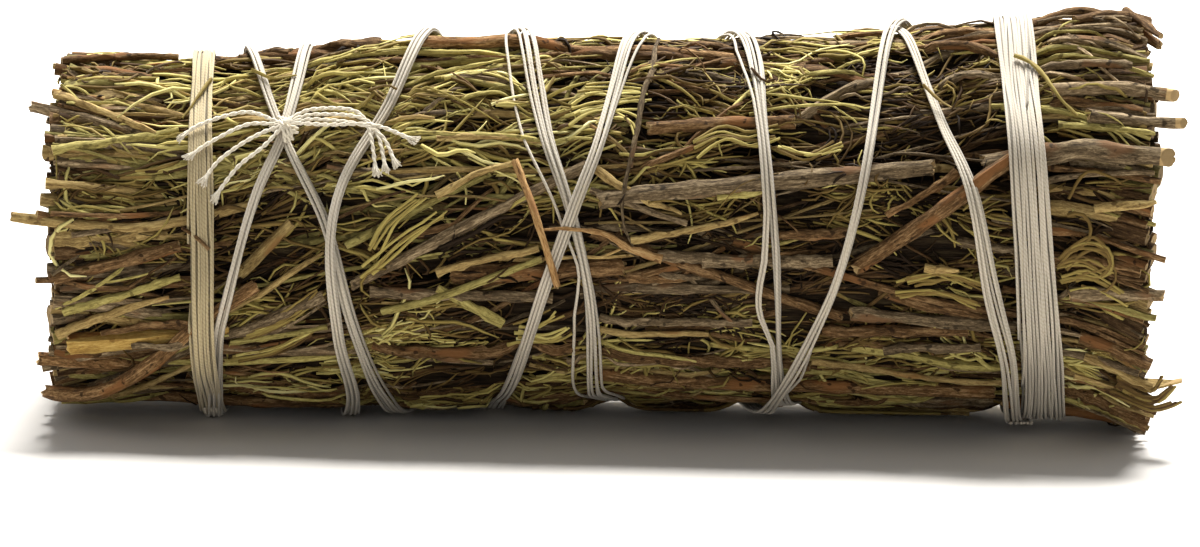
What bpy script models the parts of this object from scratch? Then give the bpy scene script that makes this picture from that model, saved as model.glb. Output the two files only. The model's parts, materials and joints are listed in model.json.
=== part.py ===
"""Smudge stick: dried leafy sprigs and bare stems laid side by side and bound with cotton thread.

The bundle lies along X on the plane Z = 0. Its front is at -Y, and its thicker, flared end at +X.
Sizes are in millimetres and are turned into metres when a mesh is made. A place on the bundle is
given by x and by a turn in degrees round the axis: 0 is the top, 90 the front, 180 the underside
and 270 the back.
"""

import math
import random

import bmesh
import bpy
from mathutils import Matrix, Vector
from mathutils.bvhtree import BVHTree

MM = 0.001

# The bundle's form, as (x, value) along its length
AXIS_HEIGHT = (
    (-50, 16.4), (-36, 16.4), (-20, 17.3), (0, 18.1), (18, 18.6), (36, 19.0), (43, 18.9), (50, 17.3),
)
STEM_TOP_RADIUS = (
    (-50, 15.7), (-36, 15.2), (-20, 16.6), (0, 16.5), (18, 16.8), (36, 17.2), (43, 17.3), (50, 18.7),
)
# How much the top is heaped up, and over how wide a turn
HEAP = (
    (-50, 0.1), (-40, 1.0), (-26, 0.7), (-12, 0.1), (4, 0.6), (24, 0.1), (38, 1.4), (46, 1.8), (50, 1.0),
)
HEAP_SPREAD = 32.0
STEM_LAYER = 1.3
SPRIG_GAP = 0.3
LAY_GAP = 0.16

# The leafy sprigs: rings of (share of the radius, number of sprigs, first turn)
SPRIG_RINGS = ((0.30, 3, 20.0), (0.76, 9, 0.0))
SPRIG_SIDES = 12
SPRIG_STATIONS = (-52, -43, -36, -27, -17, -7, 4, 15, 26, 36, 43, 53)
SPRIG_END = 48.8
SPRIG_END_SPREAD = 0.6
SPRIG_LUMP = 0.45
MEANDER = 5.0
MEANDER_LENGTH = 64.0

STEM_RESOLUTION = 1
STEM_STEP = 4.9
STEM_TAPER = 0.12

# The stems that show on the front: kind, diameter, and the (x, turn) places that each passes
FRONT_STEMS = (
    ("brown", 1.3, ((-48.7, 4), (-40.5, 17))),
    ("tan", 0.9, ((-49.6, 22), (-37.7, 35))),
    ("brown", 1.2, ((-35.2, 2), (-12.6, 9))),
    ("grey", 1.1, ((-51.5, 31), (-40.0, 45))),
    ("green", 1.0, ((-49.6, 61), (-30.0, 52))),
    ("tan", 1.0, ((-52.8, 75), (-41.7, 78), (-31.0, 70))),
    ("brown", 1.3, ((-49.2, 97), (-37.4, 84))),
    ("split", 2.3, ((-47.9, 121), (-33.0, 112))),
    ("brown", 1.5, ((-50.6, 131), (-40.4, 133))),
    ("brown", 1.5, ((-50.1, 157), (-34.0, 103), (-30.5, 97))),
    ("tan", 1.2, ((-32.3, 95), (-27.6, 77))),
    ("green", 0.8, ((-22.8, 86), (-9.9, 63))),
    ("grey", 1.2, ((-22.3, 99), (-1.1, 61))),
    ("brown", 1.3, ((-16.6, 8), (2.0, 9), (12.0, 16))),
    ("brown", 1.8, ((-13.5, 97), (2.4, 95))),
    ("green", 0.8, ((-19.5, 109), (-5.1, 91))),
    ("brown", 1.4, ((3.9, 49), (17.3, 47))),
    ("grey", 1.8, ((-0.4, 73), (29.9, 64))),
    ("brown", 1.1, ((-1.0, 83), (21.9, 113))),
    ("brown", 1.4, ((-0.3, 142), (36.0, 152))),
    ("grey", 0.9, ((12.2, 1), (28.3, 8))),
    ("grey", 2.1, ((33.8, 63), (51.3, 56))),
    ("brown", 1.5, ((22.4, 96), (38.0, 60))),
    ("grey", 1.3, ((22.2, 111), (37.4, 116))),
    ("brown", 1.0, ((38.1, 2), (46.5, -6), (50.4, 8))),
    ("grey", 1.4, ((40.0, 39), (51.8, 34))),
    ("grey", 1.2, ((43.0, 48), (52.4, 44))),
    ("grey", 1.4, ((41.6, 103), (50.4, 97))),
    ("tan", 1.0, ((42.7, 134), (49.6, 134), (52.2, 127))),
)
# The stems of the underside. Those at the ends are what the bundle stands on, on either side.
UNDER_STEMS = (
    ("brown", 1.2, ((-49.6, 173), (-34.0, 172), (-20.5, 176))),
    ("grey", 1.2, ((-48.9, 188), (-35.0, 188), (-18.0, 184))),
    ("brown", 1.4, ((36.6, 163), (44.0, 168), (50.0, 171))),
    ("brown", 1.4, ((33.0, 196), (43.0, 190), (50.4, 189))),
)
# The stems of the back, spread evenly by a loop
BACK_STEM_COUNT = 9
BACK_TURNS = (204.0, 344.0)
BACK_SEED = 11

# The splinter of bark that lies over the thread
SPLINTER = (0.7, ((-7.8, 60), (-5.4, 82), (-3.7, 99)))

# Thread: two bands, and the cross wraps that run out along the bundle and back over themselves
THREAD_THICK = 0.45
WRAP_WIDTH = 2.0
TURN_STEP = 11.25
BRIDGE_TURNS = 5
THREAD_SHARES = (-1.15, -0.9, -0.6, -0.3, 0.0, 0.3, 0.6, 0.9, 1.15)
# Each band's middle, how far it leans along the bundle from the top to the underside, its width and
# its shallow grooves
BAND_LEFT = (-35.6, 0.6, 2.3, 0)
BAND_RIGHT = (38.6, 1.9, 4.0, 2)
REST_TURN = 11.25
OUTWARD_WRAP = (
    (-32.9, -120), (-32.2, -6), (-28.5, 45), (-24.2, 83), (-19.2, 160),
    (-7.9, 355), (-5.2, 410), (-2.6, 438), (-0.9, 466), (0.2, 525),
    (12.6, 720), (14.3, 772), (15.4, 812), (16.8, 880),
    (27.2, 1083), (30.3, 1129), (33.1, 1155), (35.0, 1183), (35.7, 1195),
)
RETURN_WRAP = (
    (35.7, -120), (26.3, -3), (23.5, 65), (21.0, 100), (15.8, 150),
    (3.3, 350), (-0.2, 414), (-2.6, 438), (-5.4, 466), (-8.3, 519),
    (-16.0, 722), (-18.9, 754), (-22.9, 783), (-24.1, 804), (-23.4, 832), (-22.1, 876),
    (-26.9, 1079), (-28.5, 1125), (-30.7, 1147), (-33.1, 1178),
)
# The knot's half sizes are along the bundle, round it and outwards
KNOT_PLACE = (-28.5, 45)
KNOT_SIZE = (1.0, 1.4, 0.7)
KNOT_DETAIL = 2
END_DIAMETER = 0.42
END_SIDES = 5
END_STEP = 3.0
# Each thread end: the (x, turn) places it passes on its way from the knot
THREAD_ENDS = (
    ((-32.0, 39), (-36.0, 43), (-38.4, 50)),
    ((-31.8, 44), (-35.2, 50), (-37.6, 57)),
    ((-30.8, 48), (-34.2, 56), (-36.0, 66)),
    ((-30.2, 52), (-32.6, 59), (-35.0, 71)),
    ((-26.0, 41), (-21.6, 44), (-19.9, 67)),
    ((-25.6, 43), (-20.8, 47), (-19.0, 66)),
    ((-25.2, 45), (-20.2, 50), (-18.0, 64)),
    ((-24.6, 47), (-20.4, 48), (-16.0, 55)),
)

COLOURS = {
    "leaf": ((0.150, 0.130, 0.050), 0.85),
    "brown": ((0.130, 0.075, 0.040), 0.80),
    "grey": ((0.190, 0.150, 0.110), 0.80),
    "tan": ((0.420, 0.320, 0.160), 0.70),
    "green": ((0.330, 0.300, 0.110), 0.70),
    "split": ((0.480, 0.350, 0.120), 0.75),
    "bark": ((0.260, 0.130, 0.055), 0.80),
    "thread": ((0.760, 0.700, 0.580), 0.90),
}


def value_at(table, x):
    """The value of an (x, value) table at x, on a smooth curve through its points."""
    x = max(table[0][0], min(table[-1][0], x))
    i = max(k for k in range(len(table) - 1) if table[k][0] <= x)
    before, (x0, v0), (x1, v1) = table[max(i - 1, 0)], table[i], table[i + 1]
    after = table[min(i + 2, len(table) - 1)]
    slope0 = (v1 - before[1]) / (x1 - before[0])
    slope1 = (after[1] - v0) / (after[0] - x0)
    t = (x - x0) / (x1 - x0)
    rise = (x1 - x0) * (slope0 * t * (1 - t) ** 2 - slope1 * t * t * (1 - t))
    return v0 + (v1 - v0) * t * t * (3 - 2 * t) + rise


def place(x, turn, radius):
    """The point at x, at this turn round the axis and this far from it. The heap on top lifts it."""
    off_top = (turn + 180.0) % 360.0 - 180.0
    heap = value_at(HEAP, x) / value_at(STEM_TOP_RADIUS, x)
    radius *= 1 + heap * math.exp(-((off_top / HEAP_SPREAD) ** 2))
    angle = math.radians(turn)
    return Vector((x, -radius * math.sin(angle), value_at(AXIS_HEIGHT, x) + radius * math.cos(angle)))


def material(kind):
    """The material of a kind of piece, made once."""
    made = bpy.data.materials.get(kind)
    if made is None:
        colour, roughness = COLOURS[kind]
        made = bpy.data.materials.new(kind)
        made.use_nodes = True
        shader = made.node_tree.nodes["Principled BSDF"]
        shader.inputs["Base Color"].default_value = (*colour, 1.0)
        shader.inputs["Roughness"].default_value = roughness
        shader.inputs["Metallic"].default_value = 0.0
    return made


def add_object(name, data, kind):
    """A new object of this name and material in the scene."""
    data.materials.append(material(kind))
    made = bpy.data.objects.new(name, data)
    bpy.context.scene.collection.objects.link(made)
    return made


def tube_mesh(name, rings, closed=False):
    """A mesh through rings of points, capped at both ends, or joined end to end where closed."""
    bm = bmesh.new()
    loops = [[bm.verts.new(point * MM) for point in ring] for ring in rings]
    sides = len(rings[0])
    pairs = list(zip(loops, loops[1:]))
    if closed:
        pairs.append((loops[-1], loops[0]))
    for first, second in pairs:
        for k in range(sides):
            n = (k + 1) % sides
            bm.faces.new((first[k], first[n], second[n], second[k]))
    if not closed:
        bm.faces.new(loops[0])
        bm.faces.new(loops[-1])
    bmesh.ops.recalc_face_normals(bm, faces=bm.faces)
    mesh = bpy.data.meshes.new(name)
    bm.to_mesh(mesh)
    bm.free()
    return mesh


class Ground:
    """What the next piece lies on: the outside of everything that has been placed so far."""

    OUTSIDE = 30.0

    def __init__(self):
        self.trees = []

    def add(self, made):
        """Lets the next pieces lie on this object too."""
        graph = bpy.context.evaluated_depsgraph_get()
        mesh = made.evaluated_get(graph).to_mesh()
        points = [vertex.co / MM for vertex in mesh.vertices]
        self.trees.append(BVHTree.FromPolygons(points, [face.vertices for face in mesh.polygons]))
        made.evaluated_get(graph).to_mesh_clear()

    def radius(self, x, turn):
        """How far the outermost surface is from the axis at this place."""
        start, axis = place(x, turn, self.OUTSIDE), place(x, turn, 0.0)
        inwards = axis - start
        reach = inwards.length
        found = (tree.ray_cast(start, inwards.normalized(), reach)[3] for tree in self.trees)
        return max((self.OUTSIDE * (1 - near / reach) for near in found if near is not None), default=0.0)


def sprig_centres(x):
    """The (y, z) middles of the sprigs round the axis at x. They meander a little along the bundle."""
    reach = value_at(STEM_TOP_RADIUS, x) - STEM_LAYER
    centres = []
    for share, count, first_turn in SPRIG_RINGS:
        for k in range(count):
            sway = MEANDER * math.sin(2 * math.pi * x / MEANDER_LENGTH + 2.4 * k)
            angle = math.radians(first_turn + 360.0 * k / count + sway)
            centres.append(Vector((-math.sin(angle), math.cos(angle))) * share * reach)
    return centres


def sprig_outline(x, index, lumps):
    """One sprig's cross-section at x: the room that its neighbours and the bundle's outside leave it."""
    centres = sprig_centres(x)
    middle = centres[index]
    outside = value_at(STEM_TOP_RADIUS, x) - STEM_LAYER
    ring = []
    for k in range(SPRIG_SIDES):
        angle = 2 * math.pi * k / SPRIG_SIDES
        way = Vector((math.cos(angle), math.sin(angle)))
        along = middle.dot(way)
        reach = math.sqrt(along**2 - middle.length_squared + outside**2) - along - lumps[k]
        for other in centres:
            between = other - middle
            if between.dot(way) > 0:
                half = between.length / 2 - SPRIG_GAP / 2
                reach = min(reach, half * between.length / between.dot(way))
        spot = middle + way * reach
        ring.append(place(x, math.degrees(math.atan2(-spot.x, spot.y)), spot.length))
    return ring


def cut_ring(near, far, x):
    """The ring at x on the straight way from one ring to the next."""
    share = (x - near[0].x) / (far[0].x - near[0].x)
    return [a.lerp(b, share) for a, b in zip(near, far)]


def build_sprigs(ground):
    """The leafy sprigs, side by side from end to end, each cut off at its own place."""
    rng = random.Random(3)
    for index in range(sum(count for _, count, _ in SPRIG_RINGS)):
        rings = []
        for x in SPRIG_STATIONS:
            lumps = [SPRIG_LUMP * rng.random() for _ in range(SPRIG_SIDES)]
            rings.append(sprig_outline(x, index, lumps))
        left = -SPRIG_END + SPRIG_END_SPREAD * rng.uniform(-1, 1)
        right = SPRIG_END + SPRIG_END_SPREAD * rng.uniform(-1, 1)
        rings[0] = cut_ring(rings[0], rings[1], left)
        rings[-1] = cut_ring(rings[-2], rings[-1], right)
        name = f"leafy_sprig_{index + 1:02d}"
        ground.add(add_object(name, tube_mesh(name, rings), "leaf"))


def along_route(places, step):
    """Points every step or so on the smooth curve through (x, turn) places, as (x, turn)."""
    marks = [0.0]
    for (x0, turn0), (x1, turn1) in zip(places, places[1:]):
        arc = math.radians(turn1 - turn0) * value_at(STEM_TOP_RADIUS, (x0 + x1) / 2)
        marks.append(marks[-1] + math.hypot(x1 - x0, arc))
    xs = [(mark, x) for mark, (x, _) in zip(marks, places)]
    turns = [(mark, turn) for mark, (_, turn) in zip(marks, places)]
    count = max(2, round(marks[-1] / step) + 1)
    spots = [marks[-1] * k / (count - 1) for k in range(count)]
    return [(value_at(xs, spot), value_at(turns, spot)) for spot in spots]


def resting_radius(ground, x, turn, half_width, rise):
    """The least radius at which a round piece clears the ground, with its height over its edge as rise."""
    found = 0.0
    for share in (-1.0, -0.5, 0.0, 0.5, 1.0):
        lift = rise * math.sqrt(1 - share * share)
        for dx, dt in ((0.0, share), (share, 0.0)):
            spread = math.degrees(dt * half_width / value_at(STEM_TOP_RADIUS, x))
            found = max(found, ground.radius(x + dx * half_width, turn + spread) + lift)
    return found


def resting_line(ground, places, radius, step, finer=4):
    """Points down the middle of a stem that lies on the ground along these places."""
    fine = along_route(places, step / finer)
    levels = [resting_radius(ground, x, turn, radius + LAY_GAP, radius + LAY_GAP) for x, turn in fine]
    coarse = along_route(places, step)
    line = []
    for k, (x, turn) in enumerate(coarse):
        middle = k * (len(fine) - 1) / (len(coarse) - 1)
        near = levels[max(0, math.floor(middle - finer - 1)) : math.ceil(middle + finer + 1) + 1]
        line.append(place(x, turn, max(near)))
    return line


def round_stem(name, line, radius, kind):
    """A stem as a bevelled curve with filled ends, a little thinner at its far end."""
    curve = bpy.data.curves.new(name, "CURVE")
    curve.dimensions = "3D"
    curve.bevel_depth = radius * MM
    curve.bevel_resolution = STEM_RESOLUTION
    curve.use_fill_caps = True
    spline = curve.splines.new("POLY")
    spline.points.add(len(line) - 1)
    for k, (point, spot) in enumerate(zip(spline.points, line)):
        point.co = (spot.x * MM, spot.y * MM, max(spot.z, radius) * MM, 1.0)
        point.radius = 1.0 - STEM_TAPER * k / (len(line) - 1)
    return add_object(name, curve, kind)


def back_stems():
    """The stems of the underside and the back, as the front ones are listed."""
    rng = random.Random(BACK_SEED)
    first, last = BACK_TURNS
    kinds = ("grey", "brown", "green", "brown", "tan", "grey")
    for k in range(BACK_STEM_COUNT):
        turn = first + (last - first) * k / (BACK_STEM_COUNT - 1)
        start = rng.uniform(-50.0, 12.0) if k % 3 else rng.uniform(-50.5, -48.5)
        end = min(start + rng.uniform(30.0, 62.0), 50.6)
        yield kinds[k % len(kinds)], rng.uniform(0.9, 1.9), ((start, turn), (end, turn + rng.uniform(-9, 9)))


def build_stems(ground):
    """The bare stems that lie over the sprigs. A stem rests on whatever it crosses."""
    stems = (*FRONT_STEMS, *UNDER_STEMS, *back_stems())
    for index, (kind, diameter, places) in enumerate(stems):
        line = resting_line(ground, places, diameter / 2, STEM_STEP)
        ground.add(round_stem(f"stem_{index + 1:02d}", line, diameter / 2, kind))


def pulled_tight(spots):
    """The (x, turn, radius) line of a taut thread over these spots: it bridges the hollows."""
    tight = []
    for i, (x, turn, radius) in enumerate(spots):
        reach = radius
        for j in range(max(0, i - BRIDGE_TURNS), i):
            for k in range(i + 1, min(len(spots), i + BRIDGE_TURNS + 1)):
                before, after = math.radians(turn - spots[j][1]), math.radians(spots[k][1] - turn)
                near, far = spots[j][2], spots[k][2]
                across = near * math.sin(before) + far * math.sin(after)
                if 0 < before + after < math.pi and across > 0:
                    reach = max(reach, near * far * math.sin(before + after) / across)
        tight.append((x, turn, reach))
    return tight


def thread_spots(ground, route, half_width):
    """Where a taut thread lies on the ground along (x, turn) stations, as (x, turn, radius)."""
    finer = 8
    spots = []
    for x, turn in route:
        level = 0.0
        for k in range(-finer, finer + 1):
            near = turn + TURN_STEP * k / finer
            for share in THREAD_SHARES:
                level = max(level, ground.radius(x + share * half_width, near))
        spots.append((x, turn, level + LAY_GAP))
    return pulled_tight(spots)


def ribbon_ring(x, turn, radius, lean, profile):
    """A thread's cross-section at a place. lean is how far its run is turned from straight round."""
    ring = []
    for across, lift in profile:
        dx = across * math.cos(lean)
        dturn = math.degrees(-across * math.sin(lean) / radius)
        ring.append(place(x + dx, turn + dturn, radius + lift))
    return ring


def wrap_profile(width, thick, grooves=0):
    """A flat thread's outline as (across, lift), its outer side parted by shallow grooves."""
    edge, depth = 0.2, 0.12
    half = width / 2
    outline = [(-half, 0.0), (-half + edge, thick)]
    for k in range(grooves):
        middle = -half + width * (k + 1) / (grooves + 1)
        outline += [(middle - edge, thick), (middle, thick - depth), (middle + edge, thick)]
    return [*outline, (half - edge, thick), (half, 0.0)]


def build_band(name, ground, band, rests):
    """A band of thread wound straight round the bundle. Where it rests, its underside is flat."""
    middle, slant, width, grooves = band
    count = round(360 / TURN_STEP)
    turns = [TURN_STEP * k for k in range(-BRIDGE_TURNS, count + BRIDGE_TURNS)]
    route = [(middle - slant * math.cos(math.radians(turn)), turn) for turn in turns]
    spots = thread_spots(ground, route, width / 2)[BRIDGE_TURNS:-BRIDGE_TURNS]
    profile = wrap_profile(width, THREAD_THICK, grooves)
    rings = []
    for x, turn, radius in spots:
        ring = ribbon_ring(x, turn, radius, 0.0, profile)
        if rests and abs(turn - 180) <= REST_TURN:
            for point, (_, lift) in zip(ring, profile):
                point.z = 0.0 if lift == THREAD_THICK else point.z
        rings.append(ring)
    ground.add(add_object(name, tube_mesh(name, rings, closed=True), "thread"))


def build_wrap(name, ground, places):
    """A length of thread wound round the bundle at a slant, lying over what it crosses."""
    first, last = places[0][1], places[-1][1]
    by_turn = [(turn, x) for x, turn in places]
    count = round((last - first) / TURN_STEP)
    turns = [first + (last - first) * k / count for k in range(count + 1)]
    route = [(value_at(by_turn, turn), turn) for turn in turns]
    spots = thread_spots(ground, route, WRAP_WIDTH / 2)
    profile = wrap_profile(WRAP_WIDTH, THREAD_THICK)
    rings = []
    for k, (x, turn, radius) in enumerate(spots):
        x0, turn0, _ = spots[max(k - 1, 0)]
        x1, turn1, _ = spots[min(k + 1, count)]
        lean = math.atan2(x1 - x0, math.radians(turn1 - turn0) * radius)
        rings.append(ribbon_ring(x, turn, radius, lean, profile))
    ground.add(add_object(name, tube_mesh(name, rings), "thread"))


def round_tube(line, radius, sides):
    """Rings of points round a line."""
    rings = []
    for k, spot in enumerate(line):
        way = (line[min(k + 1, len(line) - 1)] - line[max(k - 1, 0)]).normalized()
        turned = way.to_track_quat("Z", "Y")
        angles = [2 * math.pi * n / sides for n in range(sides)]
        rings.append([spot + turned @ Vector((math.cos(a), math.sin(a), 0)) * radius for a in angles])
    return rings


def build_knot(ground):
    """The knot where the thread was tied off, with its cut ends, as one piece."""
    x, turn = KNOT_PLACE
    _, half_turn, half_out = KNOT_SIZE
    level = resting_radius(ground, x, turn, half_turn, half_out) + LAY_GAP
    bm = bmesh.new()
    bmesh.ops.create_icosphere(bm, subdivisions=KNOT_DETAIL, radius=MM)
    bmesh.ops.scale(bm, verts=bm.verts, vec=KNOT_SIZE)
    bmesh.ops.rotate(bm, verts=bm.verts, matrix=Matrix.Rotation(math.radians(turn), 3, "X"))
    bmesh.ops.translate(bm, verts=bm.verts, vec=place(x, turn, level) * MM)
    mesh = bpy.data.meshes.new("thread_knot")
    bm.to_mesh(mesh)
    bm.free()
    knot = add_object("thread_knot", mesh, "thread")
    bpy.context.view_layer.objects.active = knot
    radius = END_DIAMETER / 2
    for index, places in enumerate(THREAD_ENDS):
        line = [place(x, turn, level), *resting_line(ground, places, radius, END_STEP)]
        mesh = tube_mesh("thread_end", round_tube(line, radius, END_SIDES))
        end = add_object(f"thread_end_{index + 1}", mesh, "thread")
        union = knot.modifiers.new("join end", "BOOLEAN")
        union.operation, union.solver, union.object = "UNION", "EXACT", end
        bpy.ops.object.modifier_apply(modifier=union.name)
        bpy.data.objects.remove(end)
    ground.add(knot)


def main():
    """Clears the scene and builds the smudge stick."""
    for old in list(bpy.data.objects):
        bpy.data.objects.remove(old)
    ground = Ground()
    build_sprigs(ground)
    build_stems(ground)
    build_band("thread_band_left", ground, BAND_LEFT, rests=True)
    build_band("thread_band_right", ground, BAND_RIGHT, rests=False)
    build_wrap("thread_outward_wrap", ground, OUTWARD_WRAP)
    build_wrap("thread_return_wrap", ground, RETURN_WRAP)
    build_knot(ground)
    diameter, places = SPLINTER
    line = resting_line(ground, places, diameter / 2, STEM_STEP)
    round_stem("bark_splinter", line, diameter / 2, "bark")


main()
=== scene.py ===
"""A smudge stick: needle-leaved sprigs and bare stems bound with cotton thread, dressed for rendering.

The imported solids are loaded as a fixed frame. Each stem, band and winding of that frame gives a
dressed piece its line, so everything sits where the solids say. Needle leaves, twiglets and cut
ends, which are too small and too many for solids, are laid over and between them.

Lengths are millimetres until a mesh is written. A place on the bundle is given by x and by a turn
round its axis: 0 is the top, 90 the front, 180 the underside and 270 the back.
"""

import json
import logging
import math
from dataclasses import dataclass, fields
from enum import Enum
from typing import Iterable, Optional, Sequence, Union

import bpy
import numpy as np
from mathutils import Matrix, Vector
from mathutils.bvhtree import BVHTree

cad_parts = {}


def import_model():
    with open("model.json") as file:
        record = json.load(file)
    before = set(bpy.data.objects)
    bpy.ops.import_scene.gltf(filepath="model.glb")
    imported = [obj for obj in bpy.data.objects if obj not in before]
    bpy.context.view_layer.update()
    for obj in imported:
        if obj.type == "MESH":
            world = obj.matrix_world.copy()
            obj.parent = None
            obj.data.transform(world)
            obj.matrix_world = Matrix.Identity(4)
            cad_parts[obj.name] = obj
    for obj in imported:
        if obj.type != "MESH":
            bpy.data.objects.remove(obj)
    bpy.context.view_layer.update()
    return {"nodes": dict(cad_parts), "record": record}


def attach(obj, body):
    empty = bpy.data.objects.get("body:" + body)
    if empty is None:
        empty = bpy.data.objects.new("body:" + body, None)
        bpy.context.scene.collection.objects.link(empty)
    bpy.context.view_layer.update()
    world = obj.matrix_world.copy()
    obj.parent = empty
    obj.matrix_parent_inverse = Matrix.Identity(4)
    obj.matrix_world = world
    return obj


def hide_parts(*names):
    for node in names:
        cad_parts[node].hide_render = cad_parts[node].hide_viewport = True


LOG = logging.getLogger("smudge_stick")

MM = 0.001
BODY = "root"

AXIS_HEIGHT = (
    (-50, 16.4), (-36, 16.4), (-20, 17.3), (0, 18.1), (18, 18.6), (36, 19.0), (43, 18.9), (50, 17.3),
)
TOP_RADIUS = (
    (-50, 15.7), (-36, 15.2), (-20, 16.6), (0, 16.5), (18, 16.8), (36, 17.2), (43, 17.3), (50, 18.7),
)
HEAP = (
    (-50, 0.1), (-40, 1.0), (-26, 0.7), (-12, 0.1), (4, 0.6), (24, 0.1), (38, 1.4), (46, 1.8), (50, 1.0),
)
HEAP_SPREAD = 32.0
STEM_LAYER = 1.3
FLOOR_GAP = 0.06
GIRTH_RADIUS = 17.0

# The loose underside's sag: where round the bundle, how far, and between which ends
SAG_TURN = 196.0
SAG_SPREAD = 20.0
SAG_MOST = 2.8
SAG_CLEARANCE = 0.15
SAG_ENDS = (-34.5, 36.8)
SAG_FADE = 1.5

Places = Sequence[tuple[float, float]]
Array = np.ndarray
Thing = bpy.types.Object


# The bundle's form


def smooth_value(table: Places, at: Array) -> Array:
    """Reads a table on a smooth curve through its points.

    Args:
        table: (place, value) pairs, places rising.
        at: places to read.

    Returns:
        The values there, held at the ends of the table.
    """
    knots, values = np.array(table, float).T
    at = np.clip(np.asarray(at, float), knots[0], knots[-1])
    i = np.clip(np.searchsorted(knots, at, side="right") - 1, 0, len(knots) - 2)
    before, after = np.maximum(i - 1, 0), np.minimum(i + 2, len(knots) - 1)
    x0, x1, v0, v1 = knots[i], knots[i + 1], values[i], values[i + 1]
    slope0 = (v1 - values[before]) / (x1 - knots[before])
    slope1 = (values[after] - v0) / (knots[after] - x0)
    t = (at - x0) / (x1 - x0)
    rise = (x1 - x0) * (slope0 * t * (1 - t) ** 2 - slope1 * t * t * (1 - t))
    return v0 + (v1 - v0) * t * t * (3 - 2 * t) + rise


def around(turn: Array, middle: float) -> Array:
    """Turns as signed differences from a middle one."""
    return (turn - middle + 180.0) % 360.0 - 180.0


def peak(distance: Array, width: float) -> Array:
    """A smooth peak of a given half width: 1 where the distance is 0."""
    return np.exp(-((distance / width) ** 2))


def soft_kernel(size: int) -> Array:
    """Weights that smooth a row of numbers. They add up to 1."""
    return np.hanning(size) / np.hanning(size).sum()


def bundle_point(x: Array, turn: Array, radius: Array) -> Array:
    """Places points round the bundle's axis. The heap on top lifts them.

    Args:
        x: places along the bundle.
        turn: turns in degrees.
        radius: distances from the axis.

    Returns:
        Points, with a last axis of three.
    """
    heap = smooth_value(HEAP, x) / smooth_value(TOP_RADIUS, x)
    radius = radius * (1.0 + heap * peak(around(turn, 0.0), HEAP_SPREAD))
    angle = np.radians(turn)
    height = smooth_value(AXIS_HEIGHT, x) + radius * np.cos(angle)
    return np.stack(np.broadcast_arrays(x, -radius * np.sin(angle), height), -1)


def route_length(places: Array) -> Array:
    """How far along a route each of its (x, turn) places lies."""
    spans = np.hypot(np.diff(places[:, 0]), np.radians(np.diff(places[:, 1])) * GIRTH_RADIUS)
    return np.concatenate([[0.0], np.cumsum(spans)])


def read_route(places: Array, wanted: Array) -> tuple[Array, Array]:
    """Follows a smooth route over the bundle.

    Args:
        places: rows of the x and turn that the route passes.
        wanted: distances along it.

    Returns:
        x and turn at those distances.
    """
    at = route_length(places)
    x, turn = (smooth_value(list(zip(at, column)), wanted) for column in places.T)
    return x, turn


def keep_within(x: Array, limit: Array) -> Array:
    """Shifts lines along the bundle, a row each, until none goes past its own limit at either end."""
    x = x - np.maximum(x.max(axis=1) - limit, 0.0)[:, None]
    return x - np.minimum(x.min(axis=1) + limit, 0.0)[:, None]


def floor_limit(x: Array, turn: Array, clearance: float) -> Array:
    """The largest radius at which a point still clears the floor."""
    down = np.maximum(-np.cos(np.radians(turn)), 1e-3)
    return (smooth_value(AXIS_HEIGHT, x) - clearance) / down


def sag(x: Array, turn: Array) -> Array:
    """How far the loose outside hangs down towards the floor, behind the underside's middle.

    Args:
        x: places along the bundle.
        turn: turns in degrees.

    Returns:
        Lengths to add to the radius there.
    """
    gap = np.maximum(floor_limit(x, turn, SAG_CLEARANCE) - smooth_value(TOP_RADIUS, x), 0.0)
    inside = np.minimum(SAG_ENDS[1] - x, x - SAG_ENDS[0])
    between = np.clip(inside / SAG_FADE, 0.0, 1.0)
    return np.minimum(gap, SAG_MOST) * between * peak(around(turn, SAG_TURN), SAG_SPREAD)


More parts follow.
